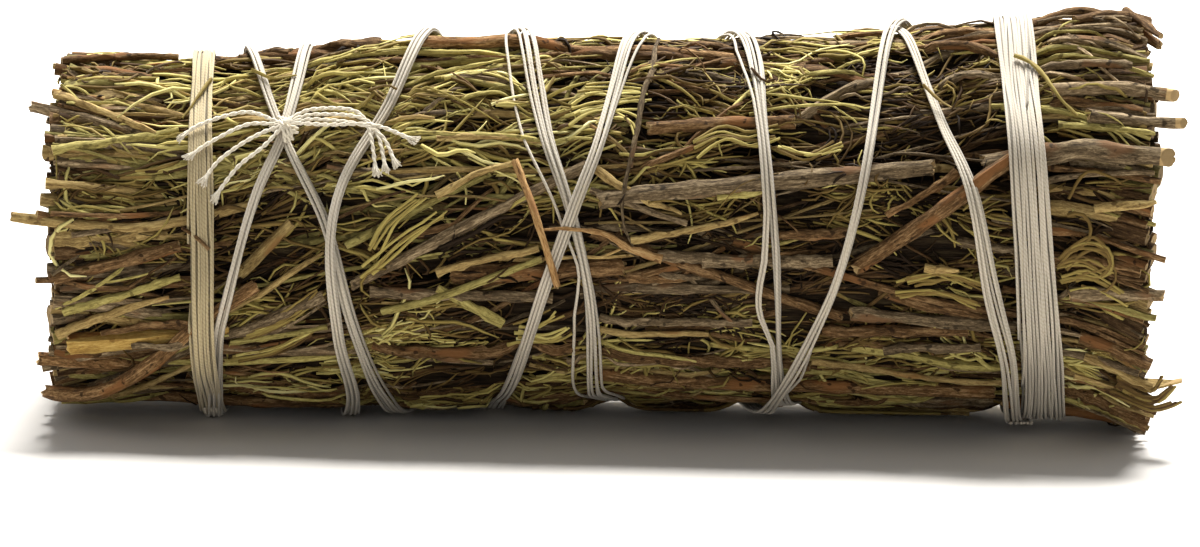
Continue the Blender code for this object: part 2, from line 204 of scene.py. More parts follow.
class Relief:
    """How far from the axis some of the solids reach, as a grid over x and turn."""

    X_STEP = 0.45
    TURN_STEP = 2.0
    FAR = 30.0

    def __init__(self, nodes: Iterable[Thing], from_axis: bool = False) -> None:
        """Casts rays over the whole bundle.

        Args:
            nodes: the solids to measure.
            from_axis: measures their inner side instead of their outer side.
        """
        points: list[Vector] = []
        faces: list[tuple[int, ...]] = []
        for node in nodes:
            first = len(points)
            points.extend(vertex.co / MM for vertex in node.data.vertices)
            faces.extend(tuple(first + k for k in face.vertices) for face in node.data.polygons)
        self.tree = BVHTree.FromPolygons(points, faces)
        self.from_axis = from_axis
        self.xs = np.arange(-54.0, 54.0, self.X_STEP)
        self.turns = np.arange(0.0, 360.0, self.TURN_STEP)
        x, turn = np.meshgrid(self.xs, self.turns, indexing="ij")
        self.grid = self.cast(x, turn)
        if from_axis:
            near = [np.roll(np.roll(self.grid, i, 0), j, 1) for i in (-1, 0, 1) for j in (-1, 0, 1)]
            self.grid = np.fmin.reduce(near)

    def cast(self, x: Array, turn: Array) -> Array:
        """Measures the solids exactly at some places.

        Args:
            x: places along the bundle.
            turn: turns in degrees.

        Returns:
            The radius where the ray at each place meets the solids, or nan where none does.
        """
        far = bundle_point(x, turn, np.full(np.shape(x), self.FAR)).reshape(-1, 3)
        axis = bundle_point(x, turn, np.zeros(np.shape(x))).reshape(-1, 3)
        starts, ends = (axis, far) if self.from_axis else (far, axis)
        hits = (self.tree.ray_cast(Vector(a), Vector(b - a), 2 * self.FAR)[3] for a, b in zip(starts, ends))
        found = np.array([math.nan if hit is None else hit for hit in hits])
        share = (found / np.linalg.norm(ends - starts, axis=1)).reshape(np.shape(x))
        return self.FAR * (share if self.from_axis else 1.0 - share)

    def at(self, x: Array, turn: Array) -> Array:
        """Reads the grid.

        Args:
            x: places along the bundle.
            turn: turns in degrees.

        Returns:
            The grid's radius nearest to each place.
        """
        i = np.clip(np.round((x - self.xs[0]) / self.X_STEP).astype(int), 0, len(self.xs) - 1)
        j = np.round((turn % 360.0) / self.TURN_STEP).astype(int) % len(self.turns)
        return self.grid[i, j]


@dataclass
class Bed:
    """The solids of the frame, measured once as what the dressed pieces lie on or under."""

    nodes: dict[str, Thing]
    thread_gap: float = 0.04
    hang_share: float = 1.15
    stem_reach: float = 0.55
    stem_gap: float = 0.2

    def __post_init__(self) -> None:
        """Measures the leaf, all but the thread, the stems, the thread's inner side, and the whole."""
        plants = ("leafy_sprig", "stem", "bark")
        threads = ("thread_band", "thread_outward", "thread_return")
        self.leaf = Relief(self._named("leafy_sprig"))
        self.solid = Relief(self._named(*plants))
        self.stems = Relief(self._named("stem"))
        self.cover = Relief(self._named(*threads), True)
        self.whole = Relief(self._named(*plants, *threads))

    def _named(self, *starts: str) -> list[Thing]:
        """The nodes whose names start with any of these."""
        return [node for name, node in self.nodes.items() if name.startswith(starts)]

    def tucked(self, x: Array, turn: Array, radius: Array, thick: Array) -> Array:
        """Presses paths in where thread crosses them and where the floor would meet them.

        Args:
            x: places along the bundle, the last axis running along each path.
            turn: turns in degrees.
            radius: radii wanted.
            thick: half thickness of what lies there.

        Returns:
            The radii to use.
        """
        cover = self.cover.at(x, turn) + self.hang_share * sag(x, turn)
        held = np.fmin(radius, cover - thick - self.thread_gap)
        return np.minimum(held, floor_limit(x, turn, thick + FLOOR_GAP))

    def below_stems(
        self, x: Array, turn: Array, radius: Array, thick: Array
    ) -> Array:
        """Lets paths pass under the stems that they would just touch.

        Args:
            x: places along the bundle, the last axis running along each path.
            turn: turns in degrees.
            radius: radii wanted.
            thick: half thickness of what lies there.

        Returns:
            The radii to use.
        """
        stems = self.stems.at(x, turn)
        stems = np.where(stems > radius - self.stem_reach, stems, np.nan)
        return np.fmin(radius, stems - 1.4 * thick - self.stem_gap)

    def laid_over(self, x: Array, turn: Array, thick: Array, relief: Relief) -> Array:
        """Radii at which paths rest on a relief, stiffly spanning its hollows.

        Args:
            x: places along the bundle, the last axis running along each path.
            turn: turns in degrees.
            thick: half thickness of what lies there.
            relief: what it lies on.

        Returns:
            The radii of the paths' middles.
        """
        rest = relief.at(x, turn) + thick
        rest = np.fmax(rest, smooth_value(TOP_RADIUS, x) - STEM_LAYER)
        for _ in range(2):
            wide = np.pad(rest, [(0, 0)] * (rest.ndim - 1) + [(1, 1)], mode="edge")
            spanned = (wide[..., :-2] + wide[..., 1:-1] + wide[..., 2:]) / 3
            rest = np.maximum(rest, spanned)
        return np.minimum(rest, floor_limit(x, turn, thick + FLOOR_GAP))


# Meshes


class Cap(Enum):
    """How the end of a tube is closed."""

    PLAIN = "plain"
    CUT = "cut"


class Heap:
    """Gathers many small tubes into one mesh, with what its finish reads at each corner."""

    def __init__(self) -> None:
        """Starts empty."""
        self.points: list[Array] = []
        self.faces: list[Array] = []
        self.grain: list[Array] = []
        self.tint: list[Array] = []
        self.pith: list[Array] = []
        self.count = 0

    def add_tubes(
        self,
        paths: Array,
        radii: Array,
        sides: int,
        tint: Array,
        caps: tuple[Cap, Cap] = (Cap.PLAIN, Cap.PLAIN),
        flatness: float = 1.0,
        lumps: float = 0.0,
        seed: int = 0,
        closed: bool = False,
    ) -> None:
        """Sweeps a tube along each path.

        Args:
            paths: middles, shaped (tubes, stations, 3).
            radii: shaped (tubes, stations).
            sides: corners round each tube.
            tint: shaped (tubes, stations), stored for the finish.
            caps: how the first and the last end are closed.
            flatness: thickness outwards over width.
            lumps: how uneven the surface is, as a share of the radius.
            seed: of the unevenness.
            closed: joins the last station to the first, so caps are left out.
        """
        tubes, stations, _ = paths.shape
        way, out, side = self._directions(paths, closed)
        angle = 2 * np.pi * np.arange(sides) / sides
        reach = np.repeat(radii[..., None], sides, axis=2)
        if lumps:
            reach = reach * (1 + lumps * np.random.default_rng(seed).normal(size=reach.shape).clip(-2, 2))
        up, across = reach * np.cos(angle) * flatness, reach * np.sin(angle)
        ring = paths[:, :, None] + up[..., None] * out[:, :, None] + across[..., None] * side[:, :, None]
        steps = np.linalg.norm(np.diff(paths, axis=1), axis=2)
        along = np.concatenate([np.zeros((tubes, 1)), np.cumsum(steps, axis=1)], axis=1)
        shift = np.random.default_rng(seed + 1).uniform(0, 400, (tubes, 1))
        grain = np.stack([np.repeat((along + shift)[..., None], sides, 2), up, across], -1)
        tint = np.repeat(np.broadcast_to(tint, (tubes, stations))[..., None], sides, 2)
        index = self._add_points(ring, grain, tint, 1.0)
        loops = index if closed else index[:, :-1]
        after = np.roll(index, -1, 1) if closed else index[:, 1:]
        quads = np.stack([loops, np.roll(loops, -1, 2), np.roll(after, -1, 2), after], -1)
        self.faces.append(quads.reshape(-1, 4))
        if closed:
            return
        for rim, end, cap in ((index[:, 0, ::-1], 0, caps[0]), (index[:, -1], -1, caps[1])):
            if cap is Cap.PLAIN:
                self.faces.append(rim)
                continue
            middle = self._add_points(paths[:, end], grain[:, end].mean(axis=1), tint[:, end, 0], 0.0)
            fan = np.stack([np.repeat(middle[:, None], sides, 1), rim, np.roll(rim, -1, axis=1)], -1)
            self.faces.append(fan.reshape(-1, 3))

    @staticmethod
    def _directions(paths: Array, closed: bool) -> tuple[Array, Array, Array]:
        """Finds three directions at every station, square to each other.

        Args:
            paths: middles, shaped (tubes, stations, 3).
            closed: whether the last station joins the first.

        Returns:
            Along the path, out from the bundle's axis, and sideways.
        """
        way = np.roll(paths, -1, 1) - np.roll(paths, 1, 1) if closed else np.gradient(paths, axis=1)
        way /= np.linalg.norm(way, axis=2, keepdims=True) + 1e-9
        x = paths[..., 0]
        out = paths - np.stack([x, 0 * x, smooth_value(AXIS_HEIGHT, x)], -1)
        out += np.array([0.0, 1e-4, 1e-4])
        out -= (out * way).sum(-1, keepdims=True) * way
        out /= np.linalg.norm(out, axis=2, keepdims=True) + 1e-9
        return way, out, np.cross(way, out)

    def _add_points(
        self, points: Array, grain: Array, tint: Array, pith: float
    ) -> Array:
        """Stores points with what goes with them.

        Args:
            points: shaped (..., 3).
            grain: as points, each point's place in its own straight stem.
            tint: one number a point.
            pith: 0 for the middle of a cut end, 1 for everything else.

        Returns:
            The number that each point got.
        """
        shape = points.shape[:-1]
        index = self.count + np.arange(math.prod(shape)).reshape(shape)
        self.points.append(points.reshape(-1, 3))
        self.grain.append(grain.reshape(-1, 3))
        self.tint.append(tint.reshape(-1))
        self.pith.append(np.full(index.size, pith))
        self.count += index.size
        return index

    def build(self, name: str, crease: Optional[float] = None) -> Thing:
        """Writes everything gathered so far as one object, in metres.

        Args:
            name: of the object.
            crease: angle in degrees past which an edge stays sharp.

        Returns:
            The object.
        """
        points = np.concatenate(self.points) * MM
        mesh = bpy.data.meshes.new(name)
        mesh.vertices.add(len(points))
        mesh.vertices.foreach_set("co", points.ravel())
        corners = np.concatenate([face.ravel() for face in self.faces])
        sizes = np.concatenate([np.full(len(face), face.shape[1]) for face in self.faces])
        mesh.loops.add(len(corners))
        mesh.loops.foreach_set("vertex_index", corners.astype(np.int32))
        mesh.polygons.add(len(sizes))
        starts = np.concatenate([[0], np.cumsum(sizes)[:-1]])
        mesh.polygons.foreach_set("loop_start", starts.astype(np.int32))
        mesh.update(calc_edges=True)
        mesh.validate()
        write_attribute(mesh, "grain", np.concatenate(self.grain))
        write_attribute(mesh, "tint", np.concatenate(self.tint))
        write_attribute(mesh, "pith", np.concatenate(self.pith))
        mesh.shade_smooth()
        made = bpy.data.objects.new(name, mesh)
        bpy.context.scene.collection.objects.link(made)
        if crease is not None:
            pick_only(made)
            bpy.ops.object.shade_smooth_by_angle(angle=math.radians(crease))
        return made


def pick_only(thing: Thing) -> None:
    """Selects one object and nothing else.

    Args:
        thing: the object, which also becomes the active one.
    """
    bpy.ops.object.select_all(action="DESELECT")
    thing.select_set(True)
    bpy.context.view_layer.objects.active = thing


def write_attribute(mesh: bpy.types.Mesh, name: str, values: Array) -> None:
    """Stores a number or a vector at every point of a mesh.

    Args:
        mesh: takes the attribute.
        name: of the attribute.
        values: one number or one row of three for each point.
    """
    kind, slot = ("FLOAT_VECTOR", "vector") if values.ndim == 2 else ("FLOAT", "value")
    made = mesh.attributes.new(name, kind, "POINT")
    made.data.foreach_set(slot, values.astype(np.float32).ravel())


# Shader graphs


Value = Union["Wire", float]
Colour = tuple[float, float, float]


@dataclass(frozen=True)
class Wire:
    """One output socket. Python arithmetic on it adds Math nodes."""

    graph: "Graph"
    socket: bpy.types.NodeSocket

    def _maths(self, operation: str, *values: Value) -> "Wire":
        """A Math node on these values."""
        settings = {"operation": operation}
        return self.graph.node("ShaderNodeMath", settings, dict(enumerate(values)))

    def __add__(self, other: Value) -> "Wire":
        """Sum."""
        return self._maths("ADD", self, other)

    def __radd__(self, other: Value) -> "Wire":
        """Reflected sum."""
        return self._maths("ADD", other, self)

    def __sub__(self, other: Value) -> "Wire":
        """Difference."""
        return self._maths("SUBTRACT", self, other)

    def __rsub__(self, other: Value) -> "Wire":
        """Reflected difference."""
        return self._maths("SUBTRACT", other, self)

    def __mul__(self, other: Value) -> "Wire":
        """Product."""
        return self._maths("MULTIPLY", self, other)

    def __rmul__(self, other: Value) -> "Wire":
        """Reflected product."""
        return self._maths("MULTIPLY", other, self)

    def __truediv__(self, other: Value) -> "Wire":
        """Quotient."""
        return self._maths("DIVIDE", self, other)

    def __rtruediv__(self, other: Value) -> "Wire":
        """Reflected quotient."""
        return self._maths("DIVIDE", other, self)

    def __pow__(self, other: Value) -> "Wire":
        """Power."""
        return self._maths("POWER", self, other)

    def call(self, operation: str, *others: Value) -> "Wire":
        """Any other Math operation, such as SINE, with this value first."""
        return self._maths(operation, self, *others)

    def between(self, low: float, high: float) -> "Wire":
        """Rises smoothly from 0 at low to 1 at high."""
        values = {"Value": self, "From Min": low, "From Max": high}
        return self.graph.node("ShaderNodeMapRange", {"interpolation_type": "SMOOTHSTEP"}, values)


class Graph:
    """A material's nodes, written as Python expressions."""

    def __init__(self, name: str) -> None:
        """Starts a material with only its shader and output.

        Args:
            name: of the material.
        """
        self.material = bpy.data.materials.new(name)
        self.material.use_nodes = True
        self.tree = self.material.node_tree
        self.shader = self.tree.nodes["Principled BSDF"]

    def node(
        self,
        kind: str,
        settings: Optional[dict[str, object]] = None,
        values: Optional[dict[Union[str, int], object]] = None,
        output: Union[str, int] = 0,
    ) -> Wire:
        """Adds a node.

        Args:
            kind: the node's type.
            settings: its properties. "stops" is a ramp's list of (place, colour).
            values: numbers, colours or wires for its sockets.
            output: the socket to return.

        Returns:
            The wire of that output.
        """
        made = self.tree.nodes.new(kind)
        for key, value in (settings or {}).items():
            if key == "stops":
                self._stops(made.color_ramp, value)
            else:
                setattr(made, key, value)
        for key, value in (values or {}).items():
            self.feed(made.inputs[key], value)
        return Wire(self, made.outputs[output])

    @staticmethod
    def _stops(ramp: bpy.types.ColorRamp, stops: Sequence[tuple[float, Colour]]) -> None:
        """Sets a ramp's stops.

        Args:
            ramp: the ramp, with no more stops than are wanted.
            stops: (place, colour) pairs, places rising.
        """
        while len(ramp.elements) < len(stops):
            ramp.elements.new(0.5)
        for element, (place, colour) in zip(ramp.elements, stops):
            element.position, element.color = place, (*colour, 1.0)

    def feed(self, socket: bpy.types.NodeSocket, value: object) -> None:
        """Links a wire to a socket, or sets the socket's own value.

        Args:
            socket: the input.
            value: a wire, a number, a vector or a colour.
        """
        if isinstance(value, Wire):
            self.tree.links.new(value.socket, socket)
        elif isinstance(value, tuple) and len(value) == 3 and socket.type == "RGBA":
            socket.default_value = (*value, 1.0)
        else:
            socket.default_value = value

    def attribute(self, name: str, output: str = "Fac") -> Wire:
        """One of the mesh's own attributes."""
        return self.node("ShaderNodeAttribute", {"attribute_name": name}, output=output)

    def stretched(self, vector: Wire, along: float, across: float, shift: float = 0.0) -> Wire:
        """A vector scaled along the stem and across it."""
        values = {"Vector": vector, "Scale": (along, across, across), "Location": (shift, shift, shift)}
        return self.node("ShaderNodeMapping", None, values)

    def noise(self, vector: Wire, scale: float, detail: float = 4.0, rough: float = 0.6) -> Wire:
        """Fractal noise from 0 to 1."""
        values = {"Vector": vector, "Scale": scale, "Detail": detail, "Roughness": rough}
        return self.node("ShaderNodeTexNoise", None, values)

    def ramp(self, factor: Wire, stops: Sequence[tuple[float, Colour]]) -> Wire:
        """A colour ramp."""
        return self.node("ShaderNodeValToRGB", {"stops": stops}, {"Fac": factor}, "Color")

    def mix(self, factor: Value, first: object, second: object, blend: str = "MIX") -> Wire:
        """A colour mix."""
        settings = {"data_type": "RGBA", "blend_type": blend}
        return self.node("ShaderNodeMix", settings, {0: factor, 6: first, 7: second}, 2)

    def bump(self, height: Wire, strength: float, distance_mm: float) -> None:
        """Feeds a height into the shader's normal."""
        values = {"Height": height, "Strength": strength, "Distance": distance_mm * MM}
        self.feed(self.shader.inputs["Normal"], self.node("ShaderNodeBump", None, values))

    def shade(self, colour: Wire, tint: Wire, tones: Colour = (1.0, 1.0, 1.0)) -> Wire:
        """Darkens or lightens a colour.

        Args:
            colour: the colour.
            tint: what multiplies it.
            tones: how much of the tint goes into each channel.

        Returns:
            The new colour.
        """
        channels = {number: tint * tone for number, tone in enumerate(tones)}
        grey = self.node("ShaderNodeCombineColor", None, channels, "Color")
        return self.mix(1.0, colour, grey, "MULTIPLY")

    def finish(self, colour: object, roughness: Value, **constants: float) -> bpy.types.Material:
        """Feeds the shader's colour and roughness and sets its constants.

        Args:
            colour: the base colour, as a wire or a plain colour.
            roughness: a wire or a number.
            constants: values by socket name, with _ for each space.

        Returns:
            The material.
        """
        self.feed(self.shader.inputs["Base Color"], colour)
        self.feed(self.shader.inputs["Roughness"], roughness)
        for name, value in constants.items():
            self.shader.inputs[name.replace("_", " ")].default_value = value
        return self.material


# Finishes


@dataclass(frozen=True)
class BarkFinish:
    """Dry bark: furrows and ridges along the stem, the furrows darker partly by the bark's own colour and
    partly as painted shade, peeled patches, scars and pale cut ends.
    """

    name: str
    furrow: Colour
    middle: Colour
    ridge: Colour
    patch: Colour
    patch_share: float = 0.35
    furrow_depth: float = 0.6
    roughness: float = 0.78
    wood: Colour = (0.40, 0.275, 0.13)
    tones: Colour = (1.0, 0.99, 0.95)

    def material(self) -> bpy.types.Material:
        """Builds the material.

        Returns:
            The material, which reads the attributes grain, tint and pith.
        """
        g = Graph(self.name)
        grain = g.attribute("grain", "Vector")
        tint = g.attribute("tint")
        streaks = g.noise(g.stretched(grain, 0.3, 3.0), 1.0, 6.0, 0.74)
        fine = g.noise(g.stretched(grain, 1.9, 8.0, 5.0), 1.0, 3.0, 0.7)
        height = streaks * 0.62 + fine * 0.38
        # Darkest in the furrows, where the bump is lowest: partly the bark's own streaks, partly painted
        # shade in the creases.
        colour = g.ramp(height, ((0.37, self.furrow), (0.5, self.middle), (0.62, self.ridge)))
        peel = g.noise(g.stretched(grain, 0.16, 0.55, 21.0), 1.0, 2.0, 0.5)
        low = 0.66 - 0.3 * self.patch_share
        colour = g.mix(peel.between(low, low + 0.1) * 0.8, colour, self.patch)
        scars = g.noise(g.stretched(grain, 1.1, 1.3, 47.0), 1.0, 2.0, 0.4)
        colour = g.mix(scars.between(0.64, 0.71) * 0.85, colour, self.furrow)
        pith = g.attribute("pith")
        rings = g.noise(g.stretched(grain, 0.2, 2.4, 9.0), 1.0, 2.0, 0.5)
        dark, dull = (tuple(share * c for c in self.wood) for share in (0.42, 0.7))
        wood = g.mix(rings, self.wood, dull)
        wood = g.mix(1.0 - pith.between(0.1, 0.3), wood, dark)
        colour = g.mix(1.0 - pith.between(0.78, 0.92), colour, wood)
        # The tint holds each piece's own tone and, for stems and twigs, painted shade where they lie deep
        # and painted light on top and at the low front.
        colour = g.shade(colour, tint, self.tones)
        g.bump(height, self.furrow_depth, 0.3)
        return g.finish(colour, self.roughness + fine * 0.15, Specular_IOR_Level=0.12)


@dataclass(frozen=True)
class LeafFinish:
    """Dry needle leaves, from brown through olive to straw, by each leaf's tint, which also darkens leaves
    that lie deep as painted shade and lightens those at the low front as painted light.
    """

    name: str

    def material(self) -> bpy.types.Material:
        """Builds the material.

        Returns:
            The material.
        """
        g = Graph(self.name)
        grain = g.attribute("grain", "Vector")
        tint = g.attribute("tint")
        blotch = g.noise(g.stretched(grain, 0.5, 1.2), 1.0, 4.0, 0.6)
        fine = g.noise(g.stretched(grain, 1.4, 12.0, 3.0), 1.0, 3.0, 0.6)
        place = tint + (blotch - 0.5) * 0.28 + (fine - 0.5) * 0.16
        stops = (
            (0.02, (0.014, 0.007, 0.002)),
            (0.20, (0.062, 0.032, 0.010)),
            (0.38, (0.160, 0.104, 0.028)),
            (0.60, (0.350, 0.280, 0.078)),
            (0.80, (0.540, 0.465, 0.160)),
            (1.00, (0.690, 0.620, 0.280)),
        )
        colour = g.ramp(place, stops)
        g.bump(fine, 0.5, 0.08)
        return g.finish(colour, 0.66 + fine * 0.2, Specular_IOR_Level=0.16)


@dataclass(frozen=True)
class ThreadFinish:
    """Unbleached cotton: two plies twisted together, faintly fuzzy, with a little dust of leaf, and painted
    shade in the grooves between the plies.
    """

    name: str
    light: Colour = (0.52, 0.465, 0.375)
    groove_painted_shade: Colour = (0.34, 0.285, 0.20)
    pitch: float = 0.8
    twist: float = 0.22

    def material(self) -> bpy.types.Material:
        """Builds the material.

        Returns:
            The material.
        """
        g = Graph(self.name)
        grain = g.attribute("grain", "Vector")
        parts = g.node("ShaderNodeSeparateXYZ", None, {"Vector": grain})
        node = parts.socket.node
        along, up, across = (Wire(g, node.outputs[k]) for k in range(3))
        angle = across.call("ARCTAN2", up)
        phase = angle * 2.0 + along * (4 * math.pi / self.pitch)
        ply = (phase.call("COSINE") + 1.0) * 0.5
        fuzz = g.noise(g.stretched(grain, 5.0, 9.0), 1.0, 4.0, 0.7)
        height = ply * self.twist + fuzz * (1.0 - self.twist)
        dust = g.noise(g.stretched(grain, 0.1, 0.6, 31.0), 1.0, 3.0, 0.6)
        # Darker in the grooves between the plies: painted shade.
        colour = g.mix(height.between(0.12, 0.62), self.groove_painted_shade, self.light)
        colour = g.mix(dust.between(0.5, 0.78) * 0.45, colour, (0.52, 0.43, 0.27))
        colour = g.shade(colour, g.attribute("tint"))
        g.bump(height, 0.6, 0.07)
        return g.finish(colour, 0.92, Specular_IOR_Level=0.15, Sheen_Weight=0.25)


@dataclass(frozen=True)
class FillFinish:
    """What shows deep between the leaves: broken leaf and twig, darkened nearly to black as painted shade,
    streaked along the bundle.
    """

    name: str

    def material(self) -> bpy.types.Material:
        """Builds the material.

        Returns:
            The material.
        """
        g = Graph(self.name)
        place = g.node("ShaderNodeTexCoord", output="Object")
        streaks = g.noise(g.stretched(place, 260.0, 2600.0), 1.0, 6.0, 0.7)
        # Nearly black: the litter's colour darkened as painted shade.
        stops = (
            (0.36, (0.006, 0.004, 0.002)),
            (0.52, (0.020, 0.012, 0.006)),
            (0.68, (0.055, 0.040, 0.019)),
        )
        g.bump(streaks, 1.0, 0.5)
        return g.finish(g.ramp(streaks, stops), 0.9, Specular_IOR_Level=0.1)


@dataclass(frozen=True)
class FloorFinish:
    """A plain pale surface."""

    name: str
    colour: Colour = (0.70, 0.67, 0.625)

    def material(self) -> bpy.types.Material:
        """Builds the material.

        Returns:
            The material.
        """
        g = Graph(self.name)
        place = g.node("ShaderNodeTexCoord", output="Object")
        cloud = g.noise(place, 6.0, 2.0, 0.5)
        shade = g.mix(cloud, self.colour, tuple(0.97 * c for c in self.colour))
        return g.finish(shade, 0.9, Specular_IOR_Level=0.05)


class Bark(Enum):
    """The kinds of bark, by the record's material slots."""

    BROWN = "brown"
    GREY = "grey"
    TAN = "tan"
    GREEN = "green"
    SPLIT = "split"
    INNER = "bark"


BARKS = {
    Bark.BROWN: BarkFinish(
        "brown bark",
        furrow=(0.018, 0.009, 0.004),
        middle=(0.098, 0.052, 0.020),
        ridge=(0.275, 0.172, 0.082),
        patch=(0.165, 0.072, 0.025),
        patch_share=0.35,
    ),
    Bark.GREY: BarkFinish(
        "grey bark",
        furrow=(0.022, 0.015, 0.008),
        middle=(0.118, 0.082, 0.045),
        ridge=(0.330, 0.250, 0.150),
        patch=(0.150, 0.076, 0.034),
        patch_share=0.25,
    ),
    Bark.TAN: BarkFinish(
        "tan bark",
        furrow=(0.085, 0.050, 0.017),
        middle=(0.245, 0.168, 0.064),
        ridge=(0.415, 0.310, 0.130),
        patch=(0.215, 0.112, 0.038),
        patch_share=0.2,
        furrow_depth=0.35,
    ),
    Bark.GREEN: BarkFinish(
        "green bark",
        furrow=(0.077, 0.058, 0.017),
        middle=(0.234, 0.194, 0.061),
        ridge=(0.387, 0.335, 0.122),
        patch=(0.198, 0.120, 0.038),
        patch_share=0.15,
        furrow_depth=0.35,
    ),
    Bark.SPLIT: BarkFinish(
        "split wood",
        furrow=(0.184, 0.097, 0.023),
        middle=(0.386, 0.244, 0.066),
        ridge=(0.534, 0.378, 0.125),
        patch=(0.184, 0.063, 0.020),
        patch_share=0.45,
        furrow_depth=0.5,
    ),
    Bark.INNER: BarkFinish(
        "inner bark",
        furrow=(0.085, 0.040, 0.014),
        middle=(0.30, 0.17, 0.068),
        ridge=(0.47, 0.32, 0.15),
        patch=(0.21, 0.10, 0.04),
        patch_share=0.3,
        furrow_depth=0.8,
    ),
}


def dress(piece: Thing, finish: bpy.types.Material) -> Thing:
    """Gives a piece its finish as its only material, and lets it ride on the bundle.

    Args:
        piece: the finished mesh.
        finish: its only material.

    Returns:
        The piece.
    """
    piece.data.materials.clear()
    piece.data.materials.append(finish)
    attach(piece, BODY)
    return piece


# Stems


def smooth_line(points: Array, step: float) -> Array:
    """A smooth curve through points, given at about equal steps.

    Args:
        points: shaped (n, k); the first three columns are the place.
        step: distance between the new points.

    Returns:
        Points with the same columns.
    """
    spans = np.linalg.norm(np.diff(points[:, :3], axis=0), axis=1)
    at = np.concatenate([[0.0], np.cumsum(spans)])
    wanted = np.linspace(0.0, at[-1], max(3, round(at[-1] / step) + 1))
    return np.stack([smooth_value(list(zip(at, column)), wanted) for column in points.T], -1)


class EndStyle(Enum):
    """How a stem ends."""

    SAWN = "sawn"
    TORN = "torn"


@dataclass
class Stem:
    """A bare stem that takes its line and thickness from its solid."""

    node: Thing
    number: int
    ends: EndStyle = EndStyle.SAWN
    split: float = 0.0
    oblique: bool = False
    furrows: float = 0.16
    lumps: float = 0.2
    shade: float = 1.0
    ring_step: float = 0.9
    stretch: float = 7.0
    slack: float = 0.97
    furrow_size: float = 0.42
    slant: tuple[float, float, float] = (1.0, -0.85, 0.15)
    split_slant: tuple[float, float, float] = (0.04, -0.35, 1.0)
    slant_place: float = 0.9
    bare_wood: float = 0.2

    def route(self) -> Array:
        """Finds the solid's rings.

        Returns:
            Rows of their middles and radii, from the left end to the right end.
        """
        corners = np.unique(np.round([v.co / MM for v in self.node.data.vertices], 3), axis=0)
        middle = corners.mean(axis=0)
        along = (corners - middle) @ np.linalg.svd(corners - middle, full_matrices=False)[2][0]
        order = np.argsort(along)
        breaks = np.nonzero(np.diff(along[order]) > 1.6)[0] + 1
        rings = [corners[group] for group in np.split(order, breaks)]
        middles = np.array([ring.mean(axis=0) for ring in rings])
        radii = [np.linalg.norm(ring - at, axis=1).mean() for ring, at in zip(rings, middles)]
        line = np.column_stack([middles, radii])
        return line if line[0, 0] < line[-1, 0] else line[::-1]

    def build(self) -> Thing:
        """Models the stem straight, then lays it along its line.

        Returns:
            The stem, in its place.
        """
        line = self.route()
        length = float(np.linalg.norm(np.diff(line[:, :3], axis=0), axis=1).sum())
        radius = float(line[:, 3].mean())
        stem = self._turned_blank(length, radius)
        self._furrow(stem, radius)
        self._finish_ends(stem, radius)
        slant_at = (length / 2 - self.slant_place * radius, 0.0, 0.0)
        if self.oblique:
            self._cut(stem, slant_at, self.slant)
        if self.split:
            self._cut(stem, (0.0, 0.0, self.split * radius), self.split_slant)
        self._mark(stem, length, radius, np.array(slant_at))
        self._lay(stem, line, radius)
        stem.name = f"barked_{self.node.name}"
        return stem

    def _turned_blank(self, length: float, radius: float) -> Thing:
        """Makes a short cylinder along x with rings round it, to be drawn out later.

        Args:
            length: of the finished stem.
            radius: of the finished stem.

        Returns:
            The cylinder.
        """
        bpy.ops.object.select_all(action="DESELECT")
        bpy.ops.mesh.primitive_cylinder_add(
            vertices=16 if radius > 0.75 else 10,
            radius=radius * self.slack,
            depth=length / self.stretch,
            rotation=(0.0, math.pi / 2, 0.0),
        )
        bpy.ops.object.transform_apply(location=True, rotation=True, scale=True)
        stem = bpy.context.object
        points = [vertex.co.x for vertex in stem.data.vertices]
        long_ones = [abs(points[a] - points[b]) > 1e-4 for a, b in (e.vertices for e in stem.data.edges)]
        self._select(stem, "edges", long_ones)
        bpy.ops.mesh.subdivide(number_cuts=min(99, max(4, round(length / self.ring_step))))
        bpy.ops.object.mode_set(mode="OBJECT")
        return stem

    @staticmethod
    def _select(stem: Thing, kind: str, chosen: Sequence[bool]) -> None:
        """Enters edit mode with only the chosen parts selected.

        Args:
            stem: the stem.
            kind: "edges" or "polygons".
            chosen: for each of them, whether it is selected.
        """
        bpy.ops.object.mode_set(mode="EDIT")
        bpy.context.tool_settings.mesh_select_mode = (False, kind == "edges", kind == "polygons")
        bpy.ops.mesh.select_all(action="DESELECT")
        bpy.ops.object.mode_set(mode="OBJECT")
        getattr(stem.data, kind).foreach_set("select", chosen)
        bpy.ops.object.mode_set(mode="EDIT")

    def _displace(self, stem: Thing, size: float, depth: int, strength: float) -> None:
        """Pushes the surface in and out by fractal clouds of the stem's own.

        Args:
            stem: the stem.
            size: of the clouds.
            depth: how many finer clouds are added.
            strength: how far they push.
        """
        shift = 37.0 * self.number
        stem.data.transform(Matrix.Translation((shift, 0.0, 0.0)))
        clouds = bpy.data.textures.new("clouds", "CLOUDS")
        clouds.noise_scale, clouds.noise_depth = size, depth
        modifier = stem.modifiers.new("clouds", "DISPLACE")
        modifier.texture, modifier.strength, modifier.mid_level = clouds, strength, 0.5
        bpy.ops.object.modifier_apply(modifier=modifier.name)
        stem.data.transform(Matrix.Translation((-shift, 0.0, 0.0)))

    def _furrow(self, stem: Thing, radius: float) -> None:
        """Furrows the bark, then draws it out, which draws the furrows out, and makes it uneven.

        Args:
            stem: the short blank.
            radius: of the stem.
        """
        self._displace(stem, self.furrow_size, 2, 2.2 * self.furrows * radius)
        bpy.ops.object.mode_set(mode="EDIT")
        bpy.ops.mesh.select_all(action="SELECT")
        bpy.ops.transform.resize(value=(self.stretch, 1.0, 1.0))
        bpy.ops.object.mode_set(mode="OBJECT")
        self._displace(stem, 3.2 * radius + 0.5, 1, 2.0 * self.lumps * radius)

